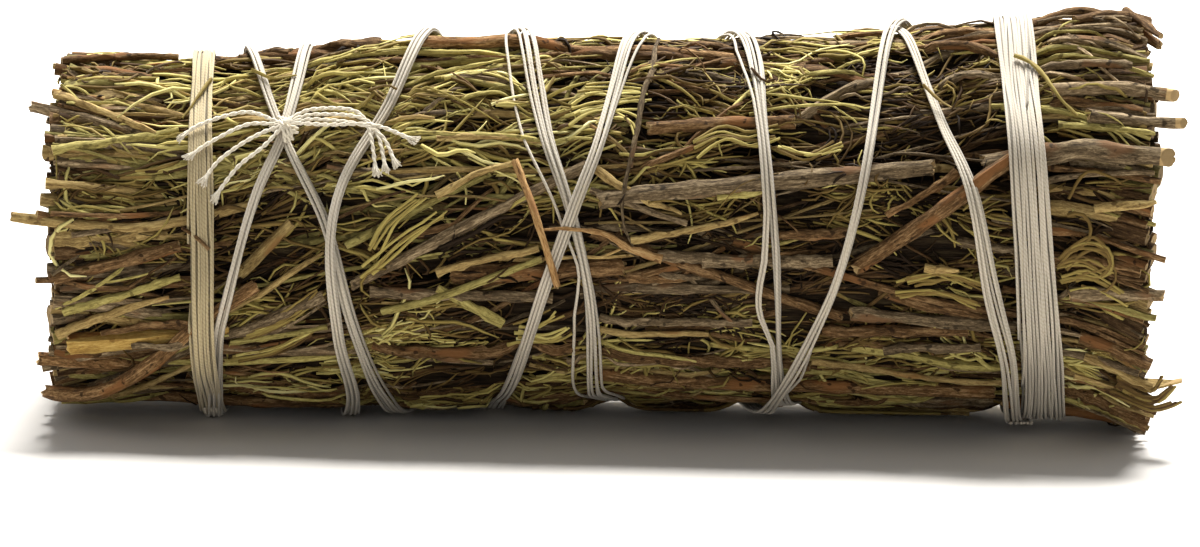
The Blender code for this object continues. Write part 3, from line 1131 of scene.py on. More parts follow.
    def _finish_ends(self, stem: Thing, radius: float) -> None:
        """Insets the ends for the bark's rim and the pith, and tears them where they are torn.

        Args:
            stem: the straight stem.
            radius: of the stem.
        """
        self._select(stem, "polygons", [len(face.vertices) > 4 for face in stem.data.polygons])
        bpy.ops.mesh.inset(thickness=0.17 * radius, depth=-0.02 * radius)
        bpy.ops.mesh.inset(thickness=0.42 * radius, depth=0.06 * radius)
        bpy.ops.mesh.poke()
        bpy.ops.object.mode_set(mode="OBJECT")
        if self.ends is EndStyle.TORN:
            rough = np.random.default_rng(self.number)
            reach = max(abs(v.co.x) for v in stem.data.vertices)
            for vertex in stem.data.vertices:
                if abs(vertex.co.x) > reach - 0.5 * radius:
                    vertex.co.x *= 1 - rough.uniform(0.0, 1.6 * radius) / reach

    @staticmethod
    def _cut(
        stem: Thing, middle: tuple[float, float, float], normal: tuple[float, float, float]
    ) -> None:
        """Cuts one side off, down to a flat face of bare wood.

        Args:
            stem: the straight stem.
            middle: a point of the cut.
            normal: the way the bare face looks.
        """
        bpy.ops.object.mode_set(mode="EDIT")
        bpy.ops.mesh.select_all(action="SELECT")
        bpy.ops.mesh.bisect(plane_co=middle, plane_no=normal, use_fill=True, clear_outer=True)
        bpy.ops.object.mode_set(mode="OBJECT")

    def _mark(self, stem: Thing, length: float, radius: float, slant_at: Array) -> None:
        """Stores the grain, the tint and the pith.

        Args:
            stem: the straight stem.
            length: of the stem.
            radius: of the stem.
            slant_at: a point of the slanting cut.
        """
        place = np.array([vertex.co for vertex in stem.data.vertices])
        write_attribute(stem.data, "grain", place + np.array([61.0 * self.number, 0.0, 0.0]))
        shade = np.random.default_rng(self.number).uniform(0.8, 1.2)
        write_attribute(stem.data, "tint", np.full(len(place), shade * self.shade))
        out = np.hypot(place[:, 1], place[:, 2]) / radius
        at_end = np.abs(place[:, 0]) > length / 2 - 0.35 * radius
        pith = np.where(at_end & (out < 0.9), np.clip(out, 0.0, 0.86), 1.0)
        if self.oblique:
            off = np.abs((place - slant_at) @ np.array(self.slant))
            pith = np.where(off < 0.01, self.bare_wood, pith)
        write_attribute(stem.data, "pith", pith)

    @staticmethod
    def _lay(stem: Thing, line: Array, radius: float) -> None:
        """Bends the straight stem along its line and brings it to metres.

        Args:
            stem: the straight stem.
            line: rows of the middles and radii that it takes.
            radius: of the straight stem.
        """
        points = smooth_line(line, 1.0)
        curve = bpy.data.curves.new("line", "CURVE")
        curve.dimensions = "3D"
        curve.use_stretch = curve.use_deform_bounds = curve.use_radius = True
        spline = curve.splines.new("POLY")
        spline.points.add(len(points) - 1)
        for point, (x, y, z, size) in zip(spline.points, points):
            point.co, point.radius = (x, y, z, 1.0), size / radius
        guide = bpy.data.objects.new("line", curve)
        bpy.context.scene.collection.objects.link(guide)
        modifier = stem.modifiers.new("lay", "CURVE")
        modifier.object, modifier.deform_axis = guide, "POS_X"
        pick_only(stem)
        bpy.ops.object.modifier_apply(modifier=modifier.name)
        bpy.data.objects.remove(guide)
        stem.data.transform(Matrix.Scale(MM, 4))
        bpy.ops.object.shade_smooth_by_angle(angle=math.radians(50))


@dataclass
class Stems:
    """All the bare stems that have a solid of their own, and the splinter over the crossing.

    Attributes:
        nodes: the frame's nodes.
        slots: each node's material slot.
        splinter: the number that stands for the splinter.
        split: how far from its middle each split stem is split, as a share of its radius.
        torn: the stems that are broken off and not sawn.
        oblique: the stems that are cut off at a slant.
        own_shade: the brightness of single stems.
        top: the height from which stems are lightened as painted light on top, and their brightness.
        low: the height up to which stems are lightened, partly for their paler bark and partly as painted
            light from the floor, and their brightness.
    """

    nodes: dict[str, Thing]
    slots: dict[str, str]
    splinter: int = 50
    split: Places = ((8, 0.35), (29, 0.1))
    torn: tuple[int, ...] = (8, 10, 19, 23, 25, 50)
    oblique: tuple[int, ...] = (22, 26, 27)
    own_shade: Places = ((10, 1.3), (50, 1.1), (8, 1.15), (1, 1.2), (2, 1.2))
    top: tuple[float, float] = (0.032, 1.4)
    low: tuple[float, float] = (0.008, 1.55)

    def build(self) -> list[Thing]:
        """Builds and dresses every stem.

        Returns:
            The pieces.
        """
        finishes = {bark: BARKS[bark].material() for bark in Bark}
        pieces = []
        for name in sorted(name for name in self.nodes if name.startswith(("stem", "bark"))):
            number = int(name[-2:]) if name.startswith("stem") else self.splinter
            bark = Bark(self.slots[name])
            young = bark in (Bark.GREEN, Bark.TAN)
            stem = Stem(
                self.nodes[name],
                number,
                EndStyle.TORN if number in self.torn else EndStyle.SAWN,
                dict(self.split).get(number, 0.0),
                number in self.oblique,
                furrows=0.12 if young else 0.2,
                lumps=0.2 if young else 0.3,
                shade=dict(self.own_shade).get(number, self._shade(self.nodes[name])),
            )
            piece = dress(stem.build(), finishes[bark])
            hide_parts(name)
            pieces.append(piece)
        return pieces

    def _shade(self, node: Thing) -> float:
        """How bright a stem is made by where it lies: painted light on top and low down.

        Args:
            node: the stem's solid.

        Returns:
            The brightness.
        """
        height = sum(corner[2] for corner in node.bound_box) / 8
        # Painted light: stems high on top and low down are made lighter.
        if height > self.top[0]:
            return self.top[1]
        return self.low[1] if height < self.low[0] else 1.0


# Small plant parts in their hundreds


@dataclass(frozen=True)
class Area:
    """A soft-edged area of the bundle's outside, with how much it counts for."""

    x: float
    turn: float
    half_length: float
    half_width: float
    share: float = 1.0

    def at(self, x: Array, turn: Array) -> Array:
        """How much the area counts at some places, from 0 to its share."""
        along = ((x - self.x) / self.half_length) ** 2
        return self.share * np.exp(-along - (around(turn, self.turn) / self.half_width) ** 2)


# Where leaves and twigs fan out, and where straight yellow-green leaf lies on top
FAN = Area(-24.0, 110.0, 18.0, 34.0, 20.0)
FRESH_AREAS = (
    Area(-28.0, 36.0, 25.0, 44.0),
    Area(25.0, 128.0, 30.0, 22.0, 0.25),
    Area(-10.0, 250.0, 30.0, 50.0, 0.7),
    Area(-21.0, 112.0, 11.0, 20.0, 0.6),
)

# Gaps between the stems: x, turn, half length along the bundle and half width in degrees
GAPS = (
    (-43.5, 86, 5.5, 5), (-44.0, 68, 4.0, 3), (-46.0, 112, 3.0, 3), (-40.0, 141, 4.0, 4),
    (-30.5, 84, 2.5, 5), (-30.0, 70, 3.5, 3), (-13.0, 93, 5.0, 3), (-3.0, 102, 6.0, 2.5),
    (-18.0, 75, 4.0, 2.5), (10.0, 81, 4.0, 3), (14.0, 98, 6.0, 3), (9.0, 106, 6.0, 2.5),
    (22.0, 90, 4.0, 4), (27.0, 78, 3.5, 4), (20.0, 120, 6.0, 2.5), (44.5, 82, 2.5, 4),
    (43.0, 98, 2.5, 3), (45.0, 110, 3.0, 3), (34.0, 100, 4.0, 2.5), (6.0, 138, 7.0, 2.5),
    (-20.0, 138, 6.0, 3), (31.0, 128, 4.0, 3), (12.0, 28, 5.0, 2.5), (30.0, 22, 4.0, 2.5),
    (-2.0, 36, 3.0, 2.5),
)
GAP_DEPTH = 2.3
WAVE_DEPTH = 1.05


def top_radius(x: Array, turn: Optional[Array] = None) -> Array:
    """How far out the tops of the stems reach.

    Args:
        x: places along the bundle.
        turn: turns in degrees. Where they are given, the loose top and underside count.

    Returns:
        The radii there.
    """
    radius = smooth_value(TOP_RADIUS, x)
    if turn is None:
        return radius
    crest = 0.45 * peak(around(turn, -5.0), 30.0)
    return radius + crest + sag(x, turn)


def lean(x: Array, turn: Array) -> Array:
    """The heading in degrees that leaves and twigs share at a place: 0 lies along the bundle."""
    waves = 7.0 * np.sin(x / 9.0 + np.radians(2.0 * turn)) + 4.0 * np.sin(x / 4.1 - np.radians(3.0 * turn))
    return waves - FAN.at(x, turn)


def freshness(x: Array, turn: Array) -> Array:
    """How much straight yellow-green leaf lies on top at a place, from 0 to 1."""
    return np.clip(sum(area.at(x, turn) for area in FRESH_AREAS), 0.0, 1.0)


def low_front(turn: Array) -> Array:
    """How near a turn is to the low front, where leaves and twigs are lightened as painted light from the
    floor, from 0 to 1.
    """
    return peak(around(turn, 145.0), 24.0)


def rightward(x: Array) -> Array:
    """Rises from 0 at the right half's start to 1 towards the right end."""
    return np.clip(x / 20.0 - 0.5, 0.0, 1.0)


def hollow(x: Array, turn: Array) -> Array:
    """How deep the small stuff lies at a place, where leaves and twigs are also darkened as painted shade.

    Args:
        x: places along the bundle.
        turn: turns in degrees.

    Returns:
        Depths below where it could reach.
    """
    t = np.radians(turn)
    waves = np.sin(x / 3.7 + 2.1 * np.sin(3.0 * t)) * np.sin(5.0 * t + x / 9.0)
    waves += 0.6 * np.sin(x / 6.3 - 4.0 * t)
    depth = WAVE_DEPTH * np.clip(waves, 0.0, 1.0)
    for middle, at, half_length, half_width in GAPS:
        dip = np.exp(-(((x - middle) / half_length) ** 4) - (around(turn, at) / half_width) ** 2)
        depth = np.maximum(depth, GAP_DEPTH * dip)
    return depth


@dataclass
class Tufts:
    """How some tufts of leaves grow, one number a tuft in each array.

    Attributes:
        x: place along the bundle.
        turn: turn in degrees.
        forward: 1 where they point to the right, -1 to the left.
        heading: degrees from the bundle's axis.
        fresh: how fresh they are.
        level: how high they lie, from 0 to 1.
        tone: the leaves' mean tint.
        stalk: length of the stalk that the leaves stand along.
    """

    x: Array
    turn: Array
    forward: Array
    heading: Array
    fresh: Array
    level: Array
    tone: Array
    stalk: Array

    def repeated(self, times: int) -> "Tufts":
        """The same with every tuft given so many times, for its single leaves."""
        return Tufts(*(np.repeat(getattr(self, column.name), times) for column in fields(self)))


@dataclass
class NeedleLeaves:
    """Tufts of dry needle leaves, one piece for each outer sprig."""

    bed: Bed
    sectors: int = 9
    first_sector: int = 4
    tufts: int = 104
    needles: int = 12
    stations: int = 7
    thick: tuple[float, float] = (0.10, 0.20)
    length: tuple[float, float] = (3.0, 10.0)
    taper: tuple[float, ...] = (0.75, 1.0, 1.05, 1.0, 0.92, 0.74, 0.3)
    flat_share: float = 0.3
    curly_share: float = 0.22
    layer: float = 1.7

    def build(self) -> list[Thing]:
        """Builds and dresses the leaves of every sector.

        Returns:
            The pieces.
        """
        finish = LeafFinish("needle leaf").material()
        pieces = []
        for sector in range(self.sectors):
            heap = Heap()
            self._grow(heap, 360.0 * sector / self.sectors, sector)
            piece = heap.build(f"needle_leaves_{self.first_sector + sector:02d}")
            pieces.append(dress(piece, finish))
        return pieces

    def _grow(self, heap: Heap, middle: float, seed: int) -> None:
        """Grows the leaves of one sprig.

        Args:
            heap: takes the leaves.
            middle: the turn of the sector's middle.
            seed: of this sector.
        """
        rng = np.random.default_rng(900 + seed)
        leaves = self._tufts(middle, rng).repeated(self.needles)
        count = len(leaves.x)
        x, turn = self._lines(leaves, rng)
        thick = rng.uniform(*self.thick, count) * (1.0 + 0.22 * leaves.fresh)
        radius, height = self._levels(leaves, x, turn, thick[:, None], rng)
        # Leaves that lie low, and those in a hollow, are darkened: painted shade.
        tint = leaves.tone + rng.normal(0.0, 0.11, count) - 0.46 * (0.68 - height)
        tint -= 0.22 * hollow(leaves.x, leaves.turn)
        tint = tint[:, None] + np.linspace(-0.07, 0.07, self.stations)
        paths = bundle_point(x, turn, radius)
        radii = thick[:, None] * np.array(self.taper)
        flat = rng.random(count) < self.flat_share
        for chosen, sides, flatness in ((flat, 4, 0.45), (~flat, 3, 0.95)):
            heap.add_tubes(paths[chosen], radii[chosen], sides, tint[chosen], flatness=flatness, seed=seed)

    def _tufts(self, middle: float, rng: np.random.Generator) -> Tufts:
        """Strews tufts over one sector.

        Args:
            middle: the turn of the sector's middle.
            rng: gives the differences.

        Returns:
            The tufts.
        """
        count = self.tufts
        half = 180.0 / self.sectors
        x = rng.uniform(-50.0, 50.0, count)
        turn = middle + rng.uniform(-half, half, count)
        forward = np.where(rng.random(count) < 0.6, 1.0, -1.0)
        heading = lean(x, turn) + rng.normal(0.0, 13.0, count)
        fresh = freshness(x, turn)
        woody = peak(around(turn, 97.0), 32.0) * (1.0 - fresh)
        level = rng.beta(1.2, 1.2, count) * (1.0 - 0.42 * woody)
        tone = 0.35 + 0.33 * fresh + rng.normal(0.0, 0.12, count) + 0.12 * rightward(x)
        tone -= np.where(rng.random(count) < 0.16, 0.22, 0.0)
        # Lighter at the low front: painted light from the floor.
        tone += 0.17 * low_front(turn)
        return Tufts(x, turn, forward, heading, fresh, level, tone, rng.uniform(2.0, 8.0, count))

    def _lines(self, leaves: Tufts, rng: np.random.Generator) -> tuple[Array, Array]:
        """Lets leaves spread from their stalks, curl and sway.

        Args:
            leaves: the tuft of each leaf.
            rng: gives the differences.

        Returns:
            x and turn along each leaf.
        """
        count = len(leaves.x)
        along = rng.uniform(0.0, 1.0, count) * leaves.stalk
        side = np.where(rng.random(count) < 0.5, 1.0, -1.0)
        spread = side * rng.gamma(2.4, 9.0, count) * (1.0 - 0.3 * leaves.fresh)
        curl = rng.normal(0.0, 5.5, count) * np.where(rng.random(count) < self.curly_share, 3.6, 1.0)
        curl *= 1.0 - 0.35 * leaves.fresh
        size = rng.uniform(*self.length, count) * rng.uniform(0.6, 1.1, count) * (0.85 + 0.5 * leaves.fresh)
        place = np.arange(self.stations)
        swing = rng.gamma(1.6, 8.0, count)[:, None]
        sway = swing * np.sin(place * rng.uniform(0.7, 1.9, (count, 1)) + rng.uniform(0.0, 6.3, (count, 1)))
        angle = leaves.heading[:, None] + spread[:, None] * np.exp(-place / 2.2)
        angle = np.radians(angle + curl[:, None] * place + sway)
        step = (leaves.forward * size / (self.stations - 1))[:, None]
        base = np.radians(leaves.heading)
        start = leaves.x + leaves.forward * along * np.cos(base)
        radius = top_radius(start)
        turned = leaves.turn + np.degrees(leaves.forward * along * np.sin(base) / radius)
        x = start[:, None] + np.cumsum(step * np.cos(angle), axis=1)
        turn = turned[:, None] + np.degrees(np.cumsum(step * np.sin(angle), axis=1) / radius[:, None])
        return keep_within(x, rng.uniform(48.0, 49.2, count)), turn

    def _levels(
        self, leaves: Tufts, x: Array, turn: Array, thick: Array, rng: np.random.Generator
    ) -> tuple[Array, Array]:
        """Lays leaves at their levels between the sprigs and the tops of the stems.

        Args:
            leaves: the tuft of each leaf.
            x: places along the bundle.
            turn: turns in degrees.
            thick: radius of each leaf.
            rng: gives the differences.

        Returns:
            The radii along each leaf, and each leaf's level from 0 to 1.
        """
        count = len(x)
        fresh = leaves.fresh[:, None]
        bottom = np.fmax(self.bed.leaf.at(x, turn) + 0.05, top_radius(x) - self.layer) + 0.75 * sag(x, turn)
        top = top_radius(x, turn) - 0.4 + 0.5 * fresh
        top = np.maximum(top - hollow(x, turn) * (1.0 - 0.6 * fresh), bottom + 0.3)
        height = np.clip(leaves.level + rng.normal(0.0, 0.16, count), 0.0, 1.1)
        place = np.arange(self.stations)
        wave = np.sin(place * rng.uniform(0.4, 1.3, (count, 1)) + rng.uniform(0, 6, (count, 1)))
        radius = bottom + height[:, None] * (top - bottom) + 0.22 * wave
        radius = 0.5 * radius + 0.5 * radius.mean(axis=1, keepdims=True)
        lying = self.bed.laid_over(x, turn, thick, self.bed.solid)
        radius = self.bed.below_stems(x, turn, radius, thick)
        over = rng.random(count) < 0.04 + 0.05 * leaves.fresh
        radius = np.where(over[:, None], np.minimum(lying, top_radius(x) + 0.5), radius)
        return self.bed.tucked(x, turn, radius, thick), height


@dataclass
class Twigs:
    """How some twigs lie, one number a twig in each array.

    Attributes:
        thick: radius.
        depth: how far the top lies below the tops of the stems.
        sink: how far the ends dip in between the others.
        shade: brightness, with painted shade where they lie deep and, for twiglets, painted light on top and
            at the low front.
    """

    thick: Array
    depth: Array
    sink: Array
    shade: Array


@dataclass
class Twiglets:
    """Thin twigs between the stems, too small for solids, with clean cut ends."""

    bed: Bed
    name: str = "twiglets"
    crease: float = 60.0
    stations: int = 12
    shares: tuple[tuple[Bark, int], ...] = (
        (Bark.BROWN, 300), (Bark.GREY, 200), (Bark.GREEN, 150), (Bark.TAN, 80),
    )
    above_share: float = 0.06
    forked_share: float = 0.45

    def build(self) -> list[Thing]:
        """Builds and dresses the twigs, one piece for each kind of bark.

        Returns:
            The pieces.
        """
        pieces = []
        for number, (bark, count) in enumerate(self.shares):
            heap = Heap()
            self._strew(heap, bark, count, number)
            piece = heap.build(f"{self.name}_{bark.value}", crease=self.crease)
            pieces.append(dress(piece, BARKS[bark].material()))
        return pieces

    def _strew(self, heap: Heap, bark: Bark, count: int, seed: int) -> None:
        """Lays one kind of twiglet all over the bundle, some of them with a side shoot.

        Args:
            heap: takes the twiglets.
            bark: their kind. Green and tan ones lie thickest at the upper left.
            count: how many.
            seed: of this kind.
        """
        rng = np.random.default_rng(300 + seed)
        size = np.clip(rng.gamma(2.6, 5.5, count), 5.0, 42.0)
        middle = rng.uniform(-49.0, 49.0, count)
        turn = rng.uniform(0.0, 360.0, count)
        if bark in (Bark.GREEN, Bark.TAN):
            near = rng.random(count) < 0.5
            middle = np.where(near, rng.uniform(-50.0, 0.0, count), middle)
            turn = np.where(near, rng.uniform(-5.0, 95.0, count), turn)
        heading = lean(middle, turn) * 0.9 + rng.normal(0.0, 8.0, count)
        heading += np.where(rng.random(count) < 0.12, rng.normal(0.0, 25.0, count), 0.0)
        thick = np.clip(rng.gamma(4.0, 0.062, count), 0.13, 0.55)
        depth = rng.uniform(-0.15, 1.0, count)
        sink = rng.uniform(0.0, 1.1, count)
        # Twigs are darkened where they lie deep and in hollows as painted shade, and lightened on top and at
        # the low front as painted light.
        shade = rng.uniform(0.85, 1.4, count) * (1.0 - 0.6 * depth.clip(0.0))
        shade *= 1.0 - 0.3 * hollow(middle, turn)
        shade *= 1.0 + 0.3 * peak(around(turn, 0.0), 30.0) + 0.12 * rightward(middle)
        shade *= 1.0 + 0.5 * low_front(turn)
        x, turns = self._wander(middle, turn, heading, size, rng)
        self._sweep(heap, x, turns, Twigs(thick, depth, sink, shade), seed)
        fork = np.nonzero(rng.random(count) < self.forked_share)[0]
        at = rng.integers(3, self.stations - 3, len(fork))
        shoot = rng.uniform(3.0, 9.0, len(fork))
        turned = heading[fork] + rng.choice((-1.0, 1.0), len(fork)) * rng.uniform(16.0, 42.0, len(fork))
        half = shoot / 2 * np.cos(np.radians(turned))
        rise = np.degrees(shoot / 2 * np.sin(np.radians(turned)) / 16.0)
        x, turns = self._wander(x[fork, at] + half, turns[fork, at] + rise, turned, shoot, rng)
        shoots = Twigs(thick[fork] * 0.6, depth[fork], 0.3 * sink[fork], shade[fork])
        self._sweep(heap, x, turns, shoots, seed + 50)

    def _wander(
        self,
        middle: Array,
        turn: Array,
        heading: Array,
        size: Array,
        rng: np.random.Generator,
    ) -> tuple[Array, Array]:
        """Draws lines that start out on a heading and bend a little.

        Args:
            middle: x of each line's middle.
            turn: turn of each line's middle.
            heading: degrees from the bundle's axis.
            size: lengths.
            rng: gives the bends.

        Returns:
            x and turn along each line.
        """
        count = len(middle)
        place = np.linspace(-0.5, 0.5, self.stations)
        bend = rng.normal(0.0, 0.55, count)[:, None] * place * size[:, None]
        kinks = np.cumsum(rng.normal(0.0, 2.2, (count, self.stations)), axis=1)
        angle = np.radians(heading[:, None] + bend + kinks - kinks.mean(axis=1, keepdims=True))
        step = size[:, None] / (self.stations - 1)
        x = np.cumsum(step * np.cos(angle), axis=1)
        x += (middle - x.mean(axis=1))[:, None]
        rise = np.cumsum(step * np.sin(angle), axis=1)
        turns = turn[:, None] + np.degrees((rise - rise.mean(axis=1, keepdims=True)) / top_radius(x))
        return keep_within(x, rng.uniform(48.2, 49.5, count)), turns

    def _sweep(self, heap: Heap, x: Array, turn: Array, twigs: Twigs, seed: int) -> None:
        """Sweeps twigs along their lines.

        Args:
            heap: takes the twigs.
            x: places along the bundle.
            turn: turns in degrees.
            twigs: how they lie.
            seed: of the unevenness.
        """
        thick, depth, sink = (column[:, None] for column in (twigs.thick, twigs.depth, twigs.sink))
        place = np.abs(np.linspace(-1.0, 1.0, self.stations))
        radius = top_radius(x, turn) - thick - depth - 0.9 * hollow(x, turn)
        inner = np.where(np.abs(x) < 47.0, 1.0, 0.0)
        radius = radius - (sink + 0.4) * place**5 * inner
        radius = np.fmax(radius, self.bed.leaf.at(x, turn) - 0.15)
        above = np.random.default_rng(seed + 5).random(len(x)) < self.above_share
        radius = np.where(above[:, None], radius, self.bed.below_stems(x, turn, radius, thick))
        radius = self.bed.tucked(x, turn, radius, thick)
        wide = np.pad(radius, ((0, 0), (1, 1)), mode="edge")
        radius = 0.25 * wide[:, :-2] + 0.5 * wide[:, 1:-1] + 0.25 * wide[:, 2:]
        radius = self.bed.tucked(x, turn, radius, thick)
        rough = np.random.default_rng(seed + 9).uniform(0.86, 1.12, x.shape)
        radii = thick * (np.linspace(1.15, 0.8, self.stations) * rough)
        ends = (Cap.CUT, Cap.CUT)
        paths = bundle_point(x, turn, radius)
        heap.add_tubes(paths, radii, 6, twigs.shade[:, None], ends, lumps=0.13, seed=seed)


@dataclass
class EndStems(Twiglets):
    """Straight stems at the two ends of the bundle, which stick out of the bands with sawn ends."""

    name: str = "end_stems"
    crease: float = 55.0
    stations: int = 10
    shares: tuple[tuple[Bark, int], ...] = (
        (Bark.BROWN, 36), (Bark.GREY, 42), (Bark.TAN, 36), (Bark.GREEN, 30),
    )

    def _strew(self, heap: Heap, bark: Bark, count: int, seed: int) -> None:
        """Lays one kind of stem all round both ends.

        Args:
            heap: takes the stems.
            bark: their kind; not used.
            count: how many at each end.
            seed: of this kind.
        """
        for side in (-1.0, 1.0):
            number = 10 * seed + int(side)
            rng = np.random.default_rng(500 + number)
            size = rng.uniform(7.0, 15.0, count)
            thick = np.clip(rng.gamma(5.0, 0.085, count), 0.25, 0.85)
            tip = rng.normal(48.7 if side < 0 else 49.0, 0.7, count).clip(47.5, 50.4)
            heading = rng.normal(0.0, 5.0, count)
            turn = rng.uniform(0.0, 360.0, count)
            depth = rng.uniform(-0.05, 0.7, count)
            # Stems that lie deeper are darkened: painted shade.
            shade = rng.uniform(0.85, 1.4, count) * (1.0 - 0.6 * depth.clip(0.0))
            x, turns = self._wander(side * (tip - size / 2), turn, heading, size, rng)
            x += (side * tip - np.where(side > 0, x.max(axis=1), x.min(axis=1)))[:, None]
            self._sweep(heap, x, turns, Twigs(thick, depth, np.zeros(count), shade), 700 + number)


@dataclass
class CutEnds:
    """The bundle's two sawn ends, packed with the ends of stems and stalks."""

    bed: Bed
    length: tuple[float, float] = (3.5, 6.0)
    tries: int = 14000
    kinds: tuple[Bark, ...] = (Bark.BROWN, Bark.GREY, Bark.GREEN, Bark.TAN)
    kind_shares: tuple[float, ...] = (0.46, 0.22, 0.18, 0.14)
    inset: float = 0.5
    overlap: float = 0.12
    crease: float = 50.0

    def build(self) -> list[Thing]:
        """Builds and dresses both ends, one piece for each kind of bark.

        Returns:
            The pieces.
        """
        pieces = []
        for side, name in ((-1.0, "left"), (1.0, "right")):
            rng = np.random.default_rng(70 + int(side))
            spots = self._pack(rng, float(smooth_value(TOP_RADIUS, side * 49.0)) - self.inset)
            kind = rng.choice(len(self.kinds), len(spots), p=self.kind_shares)
            for number, bark in enumerate(self.kinds):
                heap = Heap()
                self._stand(heap, spots[kind == number], side, rng)
                piece = heap.build(f"cut_ends_{name}_{bark.value}", crease=self.crease)
                pieces.append(dress(piece, BARKS[bark].material()))
        return pieces

    def _pack(self, rng: np.random.Generator, radius: float) -> Array:
        """Packs discs into one end, large ones first.

        Args:
            rng: gives their sizes and the places to try.
            radius: of the end.

        Returns:
            Rows of y and z from the axis, and radius.
        """
        sizes = np.sort(np.clip(rng.gamma(3.0, 0.17, self.tries), 0.14, 1.1))[::-1]
        spots = np.zeros((0, 3))
        for size in sizes:
            angle = rng.uniform(0.0, 2 * math.pi)
            heap = 1.0 + 0.085 * math.exp(-((around(math.degrees(angle), 0.0) / HEAP_SPREAD) ** 2))
            out = (radius * heap - size) * math.sqrt(rng.random())
            y, z = out * math.sin(angle), out * math.cos(angle)
            gap = np.hypot(spots[:, 0] - y, spots[:, 1] - z) - spots[:, 2] - size
            if np.all(gap > -self.overlap * size):
                spots = np.vstack([spots, (y, z, size)])
        return spots

    def _sprig_end(self, spots: Array, side: float) -> Array:
        """Measures how far out the leafy sprigs end.

        Args:
            spots: rows that start with y and z from the axis.
            side: -1 for the left end, 1 for the right.

        Returns:
            One distance from the bundle's middle for each spot.
        """
        height = float(smooth_value(AXIS_HEIGHT, side * 49.0))
        inwards = Vector((-side, 0.0, 0.0))
        ends = []
        for y, z, _ in spots:
            hit = self.bed.leaf.tree.ray_cast(Vector((side * 60.0, y, height + z)), inwards, 14.0)[0]
            ends.append(abs(hit.x) if hit else 48.6)
        return np.array(ends)

    def _stand(self, heap: Heap, spots: Array, side: float, rng: np.random.Generator) -> None:
        """Stands stubs on the given spots.

        Args:
            heap: takes the stubs.
            spots: rows of y, z and radius.
            side: -1 for the left end, 1 for the right.
            rng: gives the small differences.
        """
        count = len(spots)
        tip = self._sprig_end(spots, side) + rng.uniform(0.0, 0.6, count)
        inner = tip - rng.uniform(*self.length, count)
        x = side * np.stack([inner, (inner + tip) / 2, tip - 0.02], -1)
        outer = spots[:, :1] ** 2 + spots[:, 1:2] ** 2 > 150.0
        pinch = 1.0 + np.array([-0.16, -0.05, 0.0]) * outer
        drift = rng.normal(0.0, 0.16, (count, 2, 1)) * np.array([0.0, 1.0, 2.0]) * 0.6
        y = spots[:, :1] * pinch + drift[:, 0]
        z = smooth_value(AXIS_HEIGHT, x) + spots[:, 1:2] * pinch + drift[:, 1]
        size = spots[:, 2:] * np.array([0.97, 1.0, 0.98])
        paths = np.stack([x, y, np.maximum(z, size + FLOOR_GAP)], -1)
        if side < 0:
            paths, size = paths[:, ::-1], size[:, ::-1]
        shade = rng.uniform(0.35, 1.05, (count, 1))
        seed = int(1000 * side) + 2000
        heap.add_tubes(paths, size, 9, shade, (Cap.CUT, Cap.CUT), lumps=0.09, seed=seed)


class Rest(Enum):
    """What an oddment lies on."""

    THREAD = "thread"
    STEMS = "stems"
    TUCKED = "tucked"


@dataclass(frozen=True)
class Oddment:
    """One twig, peel or leaf with a place of its own.

    Attributes:
        kind: its bark, or None for a leaf.
        rest: what it lies on.
        ends: its radius at its start and end.
        route: the (x, turn) places it passes.
        flat: thickness over width.
        tint: the leaf's tint, or the bark's brightness.
        lift: how far it stands off what it lies on.
        bunch: how many lie side by side.
    """

    kind: Optional[Bark]
    rest: Rest
    ends: tuple[float, float]
    route: Places
    flat: float = 1.0
    tint: float = 1.0
    lift: float = 0.0
    bunch: int = 1


BROWN, GREY, TAN, GREEN, INNER = Bark.BROWN, Bark.GREY, Bark.TAN, Bark.GREEN, Bark.INNER
THREAD, STEMS, TUCKED = Rest

